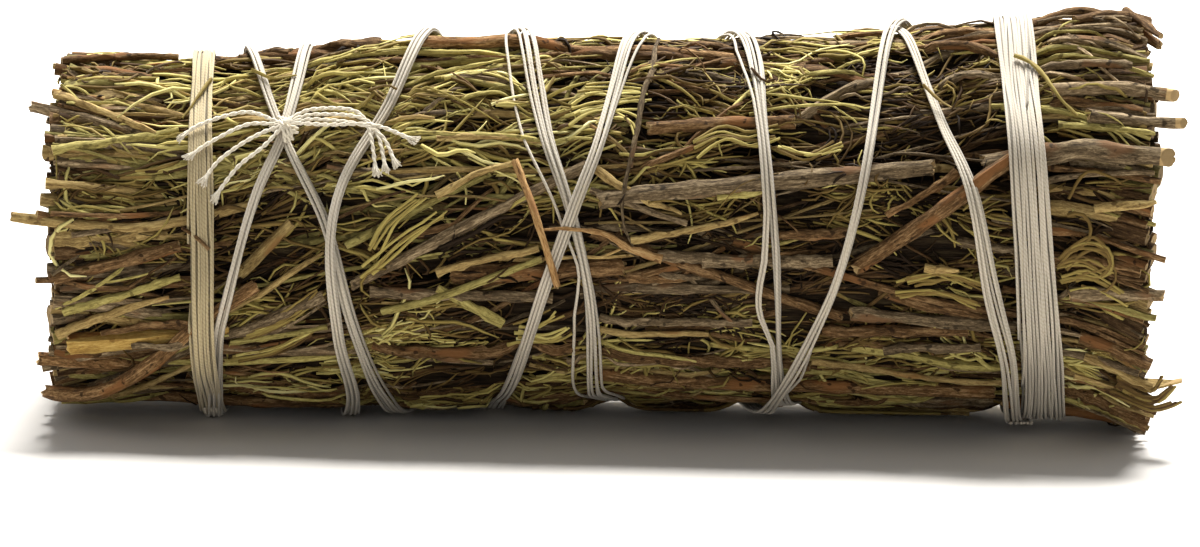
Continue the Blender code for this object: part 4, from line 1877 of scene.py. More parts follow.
# What each oddment is, in the order of its fields
ODDMENT_ROWS = (
    # The dark twig that hangs down in the middle, with its bud
    (GREY, STEMS, (0.16, 0.26), ((5.0, 4), (4.7, 12), (4.5, 24)), 0.8, 0.75, 0.05),
    (GREY, STEMS, (0.46, 0.26), ((4.6, 22), (4.1, 31)), 0.8, 1.0, 0.15),
    (GREY, STEMS, (0.3, 0.22), ((4.5, 25), (3.7, 35), (3.1, 51), (2.5, 63)), 0.7, 0.8, 0.2),
    (GREY, STEMS, (0.22, 0.11), ((2.6, 60), (1.9, 74), (2.1, 82), (2.9, 88)), 0.8, 0.7, 0.12),
    # Leaves and bits over the thread
    (None, THREAD, (0.16, 0.1), ((-35.3, 21), (-36.2, 28), (-37.0, 34), (-37.7, 38)), 1.0, 0.45, 0.1),
    (BROWN, THREAD, (0.14, 0.2), ((-37.4, 78), (-36.2, 81), (-34.9, 85)), 0.8, 0.9, 0.05),
    (None, THREAD, (0.15, 0.08), ((-31.7, 19), (-29.9, 23), (-27.6, 22)), 1.0, 0.5, 0.1),
    (None, THREAD, (0.14, 0.09), ((-21.0, 33), (-19.5, 31), (-18.5, 33)), 1.0, 0.3, 0.1),
    (None, THREAD, (0.16, 0.1), ((-9.0, 22), (-6.7, 24), (-5.0, 22), (-3.9, 25)), 1.0, 0.28, 0.1),
    (None, THREAD, (0.24, 0.14), ((36.9, 26), (38.9, 31), (40.5, 41), (42.4, 48)), 0.9, 0.5, 0.15),
    (None, THREAD, (0.18, 0.1), ((28.7, 36), (29.8, 41), (31.2, 45)), 1.0, 0.4, 0.1),
    (None, THREAD, (0.15, 0.1), ((13.3, 28), (14.4, 33), (15.4, 32)), 1.0, 0.2, 0.1),
    # The orange peel at the start of the long brown stem, over the crossing
    (INNER, THREAD, (0.1, 0.42), ((-5.4, 82), (-2.8, 82), (-0.1, 83), (3.1, 89), (5.5, 92)), 0.4, 1.0, 0.12),
    # Pale and yellow stems
    (TAN, TUCKED, (0.5, 0.42), ((-0.6, 63), (2.6, 71), (7.2, 78)), 0.8, 1.15),
    (GREY, TUCKED, (0.3, 0.28), ((-1.0, 70), (3.5, 76), (7.7, 81)), 1.0, 1.2),
    (TAN, TUCKED, (0.4, 0.34), ((-14.8, 52), (-9.3, 52), (-4.2, 53)), 0.9, 1.2),
    (TAN, TUCKED, (0.42, 0.3), ((-14.7, 71), (-11.1, 64), (-7.9, 61)), 0.8, 1.2),
    (TAN, TUCKED, (0.46, 0.44), ((-14.6, 95), (-10.0, 91), (-5.5, 88)), 0.9, 1.1),
    (GREEN, TUCKED, (0.55, 0.6), ((-14.5, 100), (-11.8, 106), (-8.6, 113)), 0.8, 1.15),
    (TAN, TUCKED, (0.45, 0.4), ((2.7, 86), (9.0, 82), (14.0, 78)), 1.0, 1.1),
    (BROWN, TUCKED, (0.6, 0.55), ((3.5, 71), (13.5, 71)), 1.0, 0.9),
    (TAN, STEMS, (0.45, 0.4), ((28.9, 95), (32.0, 96)), 0.8, 1.35),
    (BROWN, STEMS, (0.45, 0.25), ((31.7, 66), (28.6, 73), (25.4, 79)), 0.5, 1.35),
    (GREY, STEMS, (0.3, 0.42), ((-41.8, 118), (-38.5, 115), (-34.6, 112)), 0.6, 1.1),
    (BROWN, STEMS, (0.3, 0.5), ((-44.6, 115), (-41.0, 113), (-36.0, 109)), 0.5, 1.1),
    (GREEN, TUCKED, (0.42, 0.5), ((10.3, 73), (14.5, 71)), 0.8, 1.35),
    (GREEN, TUCKED, (0.34, 0.3), ((-20.7, 50), (-11.0, 51), (-0.9, 53)), 1.0, 1.25),
    (TAN, TUCKED, (0.4, 0.34), ((-27.0, 44), (-21.0, 43), (-15.0, 45)), 0.9, 1.2),
    (GREEN, TUCKED, (0.3, 0.25), ((-20.0, 30), (-13.5, 24), (-9.0, 19)), 0.9, 1.3),
    (GREEN, TUCKED, (0.55, 0.5), ((-49.2, 52), (-42.0, 46), (-38.0, 42)), 0.9, 1.25),
    (TAN, TUCKED, (0.5, 0.42), ((-49.3, 28), (-44.0, 37), (-40.0, 44)), 0.9, 1.2),
    (GREEN, TUCKED, (0.5, 0.42), ((-48.0, 108), (-42.0, 101), (-37.5, 95)), 0.9, 1.3),
    (TAN, TUCKED, (0.55, 0.45), ((-48.6, 117), (-43.0, 108), (-38.5, 102)), 0.9, 1.25),
    (GREY, TUCKED, (0.55, 0.5), ((-45.9, 148), (-36.4, 123))),
    (TAN, TUCKED, (0.4, 0.3), ((-44.0, 156), (-36.6, 131)), 1.0, 1.1),
    (TAN, TUCKED, (0.4, 0.35), ((-33.6, 108), (-24.7, 88)), 1.0, 1.05),
    (GREY, TUCKED, (0.5, 0.55), ((-33.1, 117), (-24.6, 102))),
    (GREEN, TUCKED, (0.32, 0.3), ((-33.0, 120), (-24.3, 113)), 1.0, 1.1),
    (GREY, TUCKED, (0.5, 0.5), ((-20.5, 101), (-4.2, 105))),
    (GREY, TUCKED, (0.4, 0.36), ((0.1, 113), (13.7, 114)), 1.0, 1.05),
    (TAN, TUCKED, (0.4, 0.34), ((0.1, 118), (9.8, 118)), 0.7, 1.05),
    (GREY, TUCKED, (0.55, 0.5), ((5.1, 91), (13.6, 93))),
    (GREY, TUCKED, (0.4, 0.4), ((30.3, 32), (47.4, 27))),
    (BROWN, TUCKED, (0.45, 0.4), ((29.1, 14), (37.2, 23))),
    (GREEN, TUCKED, (0.42, 0.4), ((40.7, 51), (49.3, 50)), 0.9, 1.2),
    (TAN, TUCKED, (0.5, 0.5), ((43.9, 76), (49.4, 70)), 0.9, 1.15),
    (GREY, TUCKED, (0.6, 0.55), ((9.1, 93), (20.7, 93)), 1.0, 1.05),
    (TAN, TUCKED, (0.36, 0.33), ((19.1, 130), (34.5, 140), (43.0, 134)), 1.0, 1.05),
    (GREY, TUCKED, (0.45, 0.42), ((25.5, 125), (34.2, 123)), 1.0, 1.05),
    (BROWN, TUCKED, (0.5, 0.45), ((20.0, 118), (33.0, 117)), 1.0, 0.95),
    (BROWN, TUCKED, (0.55, 0.5), ((-20.0, 124), (-2.0, 126))),
    (BROWN, TUCKED, (0.6, 0.5), ((0.0, 128), (19.0, 133))),
    (BROWN, TUCKED, (0.45, 0.4), ((14.5, 86), (22.0, 84))),
    (BROWN, TUCKED, (0.6, 0.5), ((43.0, 118), (49.4, 119)), 1.0, 1.05),
    (BROWN, TUCKED, (0.7, 0.7), ((42.0, 146), (49.6, 148)), 1.0, 1.1),
    (TAN, TUCKED, (0.5, 0.5), ((43.5, 125), (49.6, 127)), 1.0, 1.1),
    # Twigs and leaves that hang to the floor behind the underside's middle
    (BROWN, TUCKED, (0.5, 0.45), ((-6.0, 188), (4.0, 190), (15.0, 187))),
    (GREY, TUCKED, (0.5, 0.4), ((-2.0, 194), (8.0, 196), (19.0, 193))),
    (BROWN, TUCKED, (0.45, 0.5), ((11.0, 191), (21.0, 194), (32.0, 190))),
    (TAN, TUCKED, (0.5, 0.45), ((14.0, 185), (24.0, 188), (34.0, 185))),
    (BROWN, TUCKED, (0.5, 0.4), ((18.0, 198), (27.0, 197), (36.0, 194))),
    (GREY, TUCKED, (0.45, 0.4), ((-16.0, 189), (-8.0, 192), (1.0, 188))),
    (None, TUCKED, (0.2, 0.12), ((-3.0, 183), (3.0, 185), (9.0, 182)), 0.9, 0.35, 0.0, 7),
    (None, TUCKED, (0.2, 0.12), ((8.0, 184), (14.0, 186), (20.0, 183)), 0.9, 0.35, 0.0, 7),
    (None, TUCKED, (0.2, 0.12), ((18.0, 183), (25.0, 186), (32.0, 182)), 0.9, 0.35, 0.0, 7),
    # The rough dark pieces on top
    (BROWN, STEMS, (0.5, 0.9), ((-28.0, -2), (-25.0, 3), (-22.0, 4), (-20.2, 1)), 0.8, 0.9, 0.1),
    (BROWN, STEMS, (0.5, 0.35), ((-33.0, 4), (-30.5, 2), (-28.5, 4)), 0.8, 0.8, 0.1),
    (BROWN, TUCKED, (0.45, 0.4), ((-49.0, 6), (-44.0, 3), (-38.5, 4)), 0.8, 1.0, 0.1),
    (BROWN, STEMS, (0.42, 0.75), ((42.5, 6), (46.0, -1), (49.4, -4)), 0.9, 0.85, 0.15),
    (BROWN, STEMS, (0.5, 0.3), ((47.3, -5), (49.2, 4), (50.3, 9)), 0.9, 0.9, 0.3),
    (GREY, STEMS, (0.2, 0.12), ((39.2, 4), (42.0, 2), (45.5, 6)), 1.0, 0.9, 0.6),
    # Curled leaves at the right end
    (
        None, STEMS, (0.15, 0.13),
        ((40.9, 92), (42.2, 88), (43.7, 86), (44.9, 87), (45.4, 90), (45.2, 93), (44.2, 96), (42.4, 97)),
        0.8, 0.38, 0.0, 6,
    ),
    (None, STEMS, (0.17, 0.14), ((41.6, 74), (42.7, 67), (43.7, 65), (45.4, 66), (46.3, 67)), 0.9, 0.34),
    (
        None, STEMS, (0.18, 0.13),
        ((41.5, 79), (42.7, 78), (43.5, 80), (43.5, 85), (42.4, 89), (41.7, 90)),
        0.9, 0.34,
    ),
    (None, STEMS, (0.15, 0.12), ((40.7, 95), (42.6, 93), (45.0, 95)), 0.8, 0.46, 0.0, 4),
    (None, STEMS, (0.16, 0.12), ((41.0, 99), (43.2, 97), (46.4, 99)), 0.8, 0.44, 0.0, 4),
    # The green clump at the crossing's foot
    (None, STEMS, (0.2, 0.12), ((-7.6, 120), (-5.2, 120), (-2.9, 115)), 0.7, 0.66, 0.0, 5),
    (None, STEMS, (0.16, 0.1), ((-7.2, 117), (-5.5, 116), (-4.0, 111)), 0.7, 0.6, 0.0, 4),
    # Tufts of fresh needles in the upper middle
    (None, STEMS, (0.17, 0.1), ((-9.6, 40), (-7.0, 38), (-5.6, 33), (-4.4, 27)), 0.9, 0.72, 0.0, 5),
    (None, STEMS, (0.17, 0.1), ((-2.6, 44), (-0.8, 40), (1.2, 38), (3.6, 39)), 0.9, 0.66, 0.0, 6),
    (None, STEMS, (0.15, 0.1), ((-0.6, 47), (0.8, 44), (2.4, 46), (3.0, 50)), 0.9, 0.6, 0.0, 5),
    (None, STEMS, (0.15, 0.1), ((-14.6, 27), (-12.0, 24), (-9.4, 26), (-7.6, 31)), 0.9, 0.7, 0.0, 5),
    (None, STEMS, (0.15, 0.1), ((-1.6, 33), (1.0, 31), (3.4, 34)), 0.9, 0.64, 0.0, 5),
    (None, STEMS, (0.15, 0.11), ((8.2, 57), (10.6, 53), (13.0, 56), (15.5, 54)), 0.9, 0.5, 0.0, 5),
    (None, STEMS, (0.15, 0.11), ((16.0, 57), (18.6, 60), (21.4, 56)), 0.9, 0.5, 0.0, 5),
    (None, STEMS, (0.15, 0.1), ((27.2, 99), (30.6, 97), (34.2, 101)), 0.9, 0.36, 0.0, 6),
    (None, STEMS, (0.15, 0.1), ((26.4, 104), (29.8, 103), (33.4, 107)), 0.9, 0.38, 0.0, 5),
    (None, STEMS, (0.15, 0.1), ((-33.2, 128), (-29.6, 124), (-26.4, 116)), 0.9, 0.5, 0.0, 5),
    (None, STEMS, (0.15, 0.1), ((-31.8, 118), (-28.2, 111), (-25.4, 103)), 0.9, 0.46, 0.0, 6),
    (None, STEMS, (0.16, 0.1), ((-20.6, 94), (-17.4, 84), (-14.0, 77)), 0.9, 0.58, 0.0, 5),
    (None, STEMS, (0.15, 0.1), ((-20.2, 87), (-18.6, 79), (-16.2, 72)), 0.9, 0.55, 0.0, 5),
    # The leafy tip that sticks out at the lower right
    (None, TUCKED, (0.3, 0.16), ((46.5, 132), (49.5, 131), (51.2, 125)), 0.7, 0.35, 0.0, 4),
    (None, TUCKED, (0.26, 0.14), ((46.5, 128), (49.4, 127), (50.4, 122)), 0.7, 0.25, 0.0, 3),
    (None, TUCKED, (0.26, 0.16), ((46.0, 135), (49.8, 134), (51.4, 131)), 0.7, 0.3, 0.0, 3),
)
ODDMENTS = tuple(Oddment(*row) for row in ODDMENT_ROWS)


@dataclass
class Oddments:
    """The twigs, peels and leaves that have a place of their own, grouped by finish."""

    bed: Bed
    items: Sequence[Oddment] = ODDMENTS
    kinds: tuple[Optional[Bark], ...] = (Bark.BROWN, Bark.GREY, Bark.GREEN, Bark.TAN, Bark.INNER, None)
    step: float = 0.7
    crease: float = 55.0
    bunch_spread: float = 0.5

    def build(self) -> list[Thing]:
        """Builds and dresses the oddments, one piece for each finish.

        Returns:
            The pieces.
        """
        pieces = []
        for kind in self.kinds:
            heap = Heap()
            for number, item in enumerate(self.items):
                if item.kind is kind:
                    self._lay(heap, item, 800 + number)
                    for extra in range(1, item.bunch):
                        self._lay(heap, item, 800 + number + 100 * extra, self.bunch_spread)
            name = kind.value if kind else "leaf"
            piece = heap.build(f"laid_bits_{name}", crease=self.crease)
            finish = BARKS[kind].material() if kind else LeafFinish("laid leaf").material()
            pieces.append(dress(piece, finish))
        return pieces

    def _lay(self, heap: Heap, item: Oddment, seed: int, aside: float = 0.0) -> None:
        """Sweeps one oddment, or another one beside it.

        Args:
            heap: takes it.
            item: what to lay.
            seed: of this one.
            aside: how far beside the oddment's own place it may lie, or 0 for that place itself.
        """
        rng = np.random.default_rng(seed)
        x, turn = self._line(item, aside, rng)
        count = len(x)
        size = np.linspace(*item.ends, count) * rng.uniform(0.86, 1.14, count)
        if item.kind in (Bark.TAN, Bark.GREEN):
            size *= 0.8 - 0.4 * np.linspace(0.0, 1.0, count) ** 5 * rng.integers(0, 2)
        paths = bundle_point(x, turn, self._rest(item, x, turn, size * item.flat))[None]
        cap = Cap.CUT if item.kind else Cap.PLAIN
        tint = np.full((1, 1), item.tint * (1.0 + rng.normal(0.0, 0.5) * aside))
        heap.add_tubes(paths, size[None], 9, tint, (cap, cap), item.flat, 0.15, seed)

    def _line(self, item: Oddment, aside: float, rng: np.random.Generator) -> tuple[Array, Array]:
        """Draws a slightly crooked line along an oddment's route.

        Args:
            item: what will lie there.
            aside: how far beside the route it may lie.
            rng: gives the crookedness.

        Returns:
            x and turn along the line.
        """
        places = np.array(item.route, float)
        places += aside * rng.normal(0.0, (0.7, 3.0), 2) + aside * rng.normal(0.0, (0.25, 1.6), places.shape)
        length = route_length(places)[-1]
        count = max(5, round(length / self.step))
        x, turn = read_route(places, np.linspace(0.0, length, count))
        kinks = np.cumsum(rng.normal(0.0, 0.05, (2, count)), axis=1)
        kinks -= np.linspace(kinks[:, 0], kinks[:, -1], count, axis=1)
        return x + 0.4 * kinks[0], turn + np.degrees(kinks[1] / GIRTH_RADIUS)

    def _rest(self, item: Oddment, x: Array, turn: Array, thick: Array) -> Array:
        """Lets an oddment rest on what it lies on.

        Args:
            item: what lies there.
            x: places along the bundle.
            turn: turns in degrees.
            thick: half thickness.

        Returns:
            The radii of its middle.
        """
        if item.rest is Rest.TUCKED:
            radius = top_radius(x, turn) - thick + 0.12 + item.lift
            radius = self.bed.tucked(x, turn, radius, 1.25 * thick)
        elif item.rest is Rest.STEMS:
            radius = self.bed.laid_over(x, turn, thick, self.bed.solid) + item.lift
            radius = np.maximum(radius, top_radius(x) - 0.1)
            radius = self.bed.tucked(x, turn, radius, thick)
        else:
            radius = self.bed.laid_over(x, turn, thick, self.bed.whole) + item.lift
            radius = np.maximum(radius, top_radius(x) + 0.1)
        wide = np.pad(radius, 2, mode="edge")
        radius = (wide[:-4] + 2 * wide[1:-3] + 3 * wide[2:-2] + 2 * wide[3:-1] + wide[4:]) / 9
        return np.minimum(radius, floor_limit(x, turn, 1.25 * thick + FLOOR_GAP))


# Thread


@dataclass
class Winding:
    """One pass of the thread from band to band, six of its strands lying side by side."""

    node: Thing
    bed: Bed
    name: str
    route: Places
    fan: Places
    seed: int
    strays: Sequence[tuple[tuple[int, ...], Places]] = ()
    strands: int = 6
    strand_radius: float = 0.13
    step: float = 1.1
    loose_spacing: float = 0.30
    loose_fade: float = 0.08
    layer_depth: float = 0.2
    layer_shade: float = 0.24
    floor_gap: float = 0.02

    def build(self) -> Thing:
        """Sweeps the strands. Every other one lies deeper where they are close together, and is darkened
        there as painted shade.

        Returns:
            The piece.
        """
        places = np.array(self.route, float)
        length = route_length(places)[-1]
        x, turn = read_route(places, np.linspace(0.0, length, round(length / self.step)))
        run_x, run_t = np.gradient(x), np.radians(np.gradient(turn)) * GIRTH_RADIUS
        run = np.hypot(run_x, run_t)
        rng = np.random.default_rng(self.seed)
        spacing = np.interp(turn, *np.array(self.fan, float).T)
        aside = self._aside(turn, spacing, rng)
        xs = x + aside * (run_t / run)
        turns = turn - aside * np.degrees(run_x / run / GIRTH_RADIUS)
        odd = (np.arange(self.strands) % 2)[:, None]
        deep = odd * np.clip((self.loose_spacing - spacing) / self.loose_fade, 0.0, 1.0)
        radius = self._rest(xs, turns, self.layer_depth * deep)
        # The deeper strands are darkened: painted shade.
        tint = rng.uniform(0.92, 1.06, self.strands)[:, None] - self.layer_shade * deep
        heap = Heap()
        radii = np.full(xs.shape, self.strand_radius)
        heap.add_tubes(bundle_point(xs, turns, radius), radii, 8, tint, seed=self.seed)
        return heap.build(self.name)

    def _aside(self, turn: Array, spacing: Array, rng: np.random.Generator) -> Array:
        """Spreads the strands beside the line that they share.

        Args:
            turn: turns along the line.
            spacing: distance from strand to strand along the line.
            rng: lets them wander.

        Returns:
            How far aside they lie, a row for each strand.
        """
        rank = np.arange(self.strands) - (self.strands - 1) / 2
        wander = rng.normal(0.0, 1.0, (self.strands, len(turn)))
        wander = np.stack([np.convolve(row, soft_kernel(19), "same") for row in wander])
        aside = rank[:, None] * spacing + wander * (0.2 + 0.4 * np.maximum(spacing - 0.22, 0.0))
        for strands, places in self.strays:
            shift = np.interp(turn, *np.array(places, float).T)
            for strand in strands:
                aside[strand] += math.copysign(1.0, rank[strand]) * shift
        return aside

    def _rest(self, x: Array, turn: Array, depth: Array) -> Array:
        """Lays the strands on the pass's solid, and beside it on what lies there.

        Args:
            x: places along the bundle, a row for each strand.
            turn: turns in degrees.
            depth: how much deeper than the solid's outside they lie.

        Returns:
            The radii of their middles.
        """
        thick = self.strand_radius
        radius = Relief([self.node]).cast(x, turn)
        under = self.bed.laid_over(x, turn, thick, self.bed.solid) + thick
        beside = np.nanmin(np.vstack([radius, under.min(axis=0)[None] + 2.0]), axis=0)
        beside = np.maximum(under, np.broadcast_to(beside, radius.shape) - 0.1)
        radius = np.where(np.isnan(radius), beside, radius) - thick - depth
        wide = np.pad(radius, ((0, 0), (2, 2)), mode="edge")
        radius = sum(wide[:, k : k + radius.shape[1]] for k in range(5)) / 5
        return np.minimum(radius + sag(x, turn), floor_limit(x, turn, thick + self.floor_gap))


@dataclass
class ThreadBand:
    """Turns of thread lying side by side round one end of the bundle."""

    node: Thing
    bed: Bed
    name: str
    middle: float
    slant: float
    width: Places
    rings: int
    seed: int
    strand_radius: float = 0.135
    stations: int = 104
    layer_depth: float = 0.22
    layer_shade: float = 0.45
    floor_gap: float = 0.02

    def build(self) -> Thing:
        """Sweeps two layers of turns, the lower one showing between the upper one's turns and darkened as
        painted shade.

        Returns:
            The piece.
        """
        heap = Heap()
        rng = np.random.default_rng(self.seed)
        turn = 180.0 + 360.0 * np.arange(self.stations) / self.stations
        width = np.interp(around(turn, 0.0), *np.array(self.width, float).T)
        line = self.middle - self.slant * np.cos(np.radians(turn))
        solid = Relief([self.node])
        for layer, rings in ((0, self.rings), (1, self.rings - 1)):
            share = (np.arange(rings) - (rings - 1) / 2) / self.rings
            x = line + share[:, None] * width + self._wander(rings, rng)
            turns = np.broadcast_to(turn, x.shape)
            radius = self._rest(solid, x, turns, self.layer_depth * layer)
            radii = np.full(x.shape, self.strand_radius)
            # The lower layer is darkened: painted shade.
            tint = rng.uniform(0.9, 1.06, (rings, 1)) - self.layer_shade * layer
            paths = bundle_point(x, turns, radius)
            heap.add_tubes(paths, radii, 6, tint, seed=self.seed + layer, closed=True)
        return heap.build(self.name)

    def _wander(self, rings: int, rng: np.random.Generator) -> Array:
        """Lets turns stray a little along the bundle and come back to where they start.

        Args:
            rings: how many turns.
            rng: gives the noise.

        Returns:
            Shifts along the bundle, a row for each turn.
        """
        noise = rng.normal(0.0, 1.0, (rings, self.stations))
        noise = np.stack([np.convolve(np.tile(row, 3), soft_kernel(15), "same") for row in noise])
        return noise[:, self.stations : 2 * self.stations] * 0.22

    def _rest(self, solid: Relief, x: Array, turn: Array, depth: float) -> Array:
        """Lays turns on the band's solid, and beside it on what lies there.

        Args:
            solid: the band's solid.
            x: places along the bundle, a row for each turn of thread.
            turn: turns in degrees.
            depth: how much deeper than the solid's outside they lie.

        Returns:
            The radii of their middles.
        """
        thick = self.strand_radius
        under = self.bed.laid_over(x, turn, thick, self.bed.solid)
        radius = solid.cast(x, turn) - thick
        radius = np.where(np.isnan(radius), under + 0.05, radius) - depth
        wide = np.concatenate([radius[:, -2:], radius, radius[:, :2]], axis=1)
        radius = sum(wide[:, k : k + self.stations] for k in range(5)) / 5
        return np.minimum(radius, floor_limit(x, turn, thick + self.floor_gap))


@dataclass
class Knot:
    """The knot over the left passes, with eight tails of two twisted plies and frayed ends."""

    bed: Bed
    ends: Sequence[Places]
    place: tuple[float, float] = (-28.5, 45.0)
    ply_radius: float = 0.115
    ply_offset: float = 0.085
    ply_pitch: float = 1.6
    step: float = 0.14
    frays: int = 34
    fray_length: float = 1.3
    fray_radius: float = 0.05

    def build(self) -> Thing:
        """Ties the knot.

        Returns:
            The piece.
        """
        heap = Heap()
        for number, end in enumerate(self.ends):
            self._tail(heap, end, number)
        self._loops(heap)
        return heap.build("tied_thread_knot")

    def _twist(self, heap: Heap, line: Array, seed: int) -> None:
        """Sweeps the two plies of a cord.

        Args:
            heap: takes the plies.
            line: a fine line of points along the cord's middle.
            seed: of the unevenness.
        """
        steps = np.linalg.norm(np.diff(line, axis=0), axis=1)
        along = np.concatenate([[0.0], np.cumsum(steps)])
        way = np.gradient(line, axis=0)
        way /= np.linalg.norm(way, axis=1, keepdims=True)
        side = np.cross(way, np.array([0.0, -0.6, 0.8]))
        side /= np.linalg.norm(side, axis=1, keepdims=True)
        up = np.cross(side, way)
        phase = 2 * np.pi * along / self.ply_pitch
        swing = np.cos(phase)[:, None] * side + np.sin(phase)[:, None] * up
        paths = np.stack([line + self.ply_offset * swing, line - self.ply_offset * swing])
        radii = np.full(paths.shape[:2], self.ply_radius)
        heap.add_tubes(paths, radii, 7, np.ones((2, 1)), lumps=0.05, seed=seed)

    def _tail(self, heap: Heap, end: Places, number: int) -> None:
        """Lays one tail from the knot to its end and frays it.

        Args:
            heap: takes the tail.
            end: the (x, turn) places it passes after the knot.
            number: of this tail.
        """
        places = np.array([self.place, *end], float)
        wanted = np.arange(0.0, route_length(places)[-1] - self.fray_length, self.step)
        x, turn = read_route(places, wanted)
        thick = self.ply_radius + self.ply_offset
        rest = self.bed.whole.at(x, turn) + thick * 0.9
        rest = np.fmax(rest, top_radius(x) + 0.25 + thick)
        wide = np.pad(rest, 24, mode="edge")
        rest = np.max([wide[k : k + len(rest)] for k in range(0, 49, 4)], axis=0)
        rest = np.convolve(np.pad(rest, 14, mode="edge"), soft_kernel(29), "valid")
        line = bundle_point(x, turn, rest + 0.25 * np.exp(-wanted / 2.0))
        self._twist(heap, line, 40 + number)
        self._fray(heap, line, number)

    def _fray(self, heap: Heap, line: Array, number: int) -> None:
        """Opens the end of a tail into loose fibres.

        Args:
            heap: takes the fibres.
            line: points along the tail's middle.
            number: of this tail.
        """
        rng = np.random.default_rng(600 + number)
        way = line[-1] - line[-8]
        way /= np.linalg.norm(way)
        away = rng.normal(0.0, 1.0, (self.frays, 3))
        away -= (away @ way)[:, None] * way
        away /= np.linalg.norm(away, axis=1, keepdims=True)
        open_up = rng.uniform(0.0, 0.34, self.frays)[:, None]
        size = rng.uniform(0.8, 1.5, self.frays)[:, None]
        place = np.linspace(0.0, 1.0, 5)
        start = line[-5] + away * 0.1
        push = size * place
        paths = start[:, None] + push[..., None] * way + (open_up * push * place)[..., None] * away[:, None]
        paths[..., 2] = np.maximum(paths[..., 2], 0.2)
        radii = np.full(paths.shape[:2], self.fray_radius)
        heap.add_tubes(paths, radii, 4, np.ones((self.frays, 1)), seed=number)

    def _loops(self, heap: Heap) -> None:
        """Winds the loops that hold the tails together over the passes.

        Args:
            heap: takes the loops.
        """
        x0, t0 = self.place
        near = np.array([x0, x0 + 0.5, x0 - 0.5])
        floor = float(np.nanmax(self.bed.whole.at(near, np.full(3, t0))))
        angle = np.linspace(-0.12 * np.pi, 1.12 * np.pi, 50)
        for number, shift in enumerate((-0.2, 0.12, 0.4)):
            x = x0 + shift + 0.35 * np.cos(angle)
            turn = t0 + np.degrees((1.3 - 0.12 * number) * np.cos(angle) / GIRTH_RADIUS)
            radius = floor - 0.1 + (0.8 - 0.08 * number) * np.sin(angle)
            self._twist(heap, bundle_point(x, turn, radius), 80 + number)
        across = np.linspace(-1.0, 1.0, 40)
        for number, shift in enumerate((-0.5, 0.0, 0.45)):
            x = x0 + 1.3 * across
            turn = t0 + np.degrees((shift + 0.2 * across) / GIRTH_RADIUS)
            radius = floor + 0.2 + 0.2 * (1 - across**2)
            self._twist(heap, bundle_point(x, turn, radius), 90 + number)


OUTWARD_ROUTE = (
    (-35.0, -200), (-34.2, -165), (-32.9, -120), (-32.2, -6), (-28.5, 45), (-24.2, 83), (-19.2, 160),
    (-7.9, 355), (-5.2, 410), (-2.6, 438), (-0.9, 466), (0.2, 525), (12.6, 720), (14.3, 772),
    (15.4, 812), (16.8, 880), (27.2, 1083), (30.3, 1129), (33.1, 1155), (35.0, 1183), (36.6, 1204),
    (37.6, 1237), (38.6, 1262),
)
OUTWARD_FAN = (
    (-200, 0.26), (-120, 0.26), (-6, 0.14), (30, 0.13), (45, 0.11), (60, 0.12), (83, 0.13), (130, 0.17),
    (180, 0.26), (300, 0.31), (355, 0.27), (377, 0.35), (395, 0.35), (415, 0.25), (432, 0.16), (452, 0.16),
    (466, 0.22), (485, 0.29), (510, 0.36), (525, 0.4), (560, 0.39), (640, 0.39), (720, 0.3), (745, 0.27),
    (762, 0.17), (775, 0.16), (790, 0.18), (812, 0.21), (838, 0.14), (850, 0.16), (880, 0.33), (990, 0.36),
    (1083, 0.14), (1105, 0.12), (1129, 0.11), (1146, 0.13), (1158, 0.18), (1183, 0.26), (1237, 0.26),
)
OUTWARD_STRAYS = (
    (
        (0,),
        (
            (350, 0.0), (372, 0.9), (410, 1.2), (440, 0.6), (455, 0.0),
            (470, 0.9), (500, 1.1), (525, 0.5), (560, 0.0),
        ),
    ),
    ((5,), ((505, 0.0), (520, 0.5), (540, 0.3), (560, 0.0))),
    ((0, 1, 2), ((798, 0.0), (812, 0.4), (822, 1.1), (829, 1.2), (842, 0.1), (850, 0.0))),
    ((0,), ((715, 0.0), (735, 0.6), (760, 0.1), (770, 0.0))),
)
RETURN_ROUTE = (
    (38.5, -200), (37.6, -165), (35.7, -120), (26.3, -3), (23.5, 65), (21.0, 100), (15.8, 150), (3.3, 350),
    (-0.2, 414), (-2.6, 438), (-5.4, 466), (-8.3, 519), (-16.0, 722), (-18.9, 754), (-22.9, 783),
    (-24.1, 804), (-23.4, 832), (-22.1, 876), (-26.9, 1079), (-28.5, 1125), (-30.7, 1147), (-33.1, 1178),
    (-34.2, 1195), (-34.6, 1236), (-35.0, 1270),
)
RETURN_FAN = (
    (-200, 0.33), (-3, 0.18), (20, 0.16), (65, 0.14), (100, 0.13), (130, 0.17), (146, 0.16), (165, 0.33),
    (300, 0.34), (350, 0.29), (365, 0.26), (385, 0.21), (414, 0.17), (438, 0.16), (466, 0.17), (500, 0.2),
    (519, 0.21), (560, 0.33), (700, 0.26), (722, 0.18), (754, 0.14), (783, 0.12), (804, 0.12), (832, 0.16),
    (876, 0.22), (900, 0.29), (1079, 0.16), (1110, 0.14), (1125, 0.13), (1147, 0.12), (1165, 0.13),
    (1178, 0.16), (1270, 0.26),
)
RETURN_STRAYS = (
    ((5,), ((340, 0.0), (365, 0.5), (390, 0.1), (400, 0.0))),
    ((5,), ((120, 0.0), (133, 0.5), (144, 0.0))),
)
TAILS = (
    ((-32.0, 39), (-36.0, 43), (-38.4, 50)), ((-31.8, 44), (-35.2, 50), (-37.6, 57)),
    ((-30.8, 48), (-34.2, 56), (-36.0, 66)), ((-30.2, 52), (-32.6, 59), (-35.0, 71)),
    ((-26.0, 41), (-21.6, 44), (-19.9, 67)), ((-25.6, 43), (-20.8, 47), (-19.0, 66)),
    ((-25.2, 45), (-20.2, 50), (-18.0, 64)), ((-24.6, 47), (-20.4, 48), (-16.0, 55)),
)


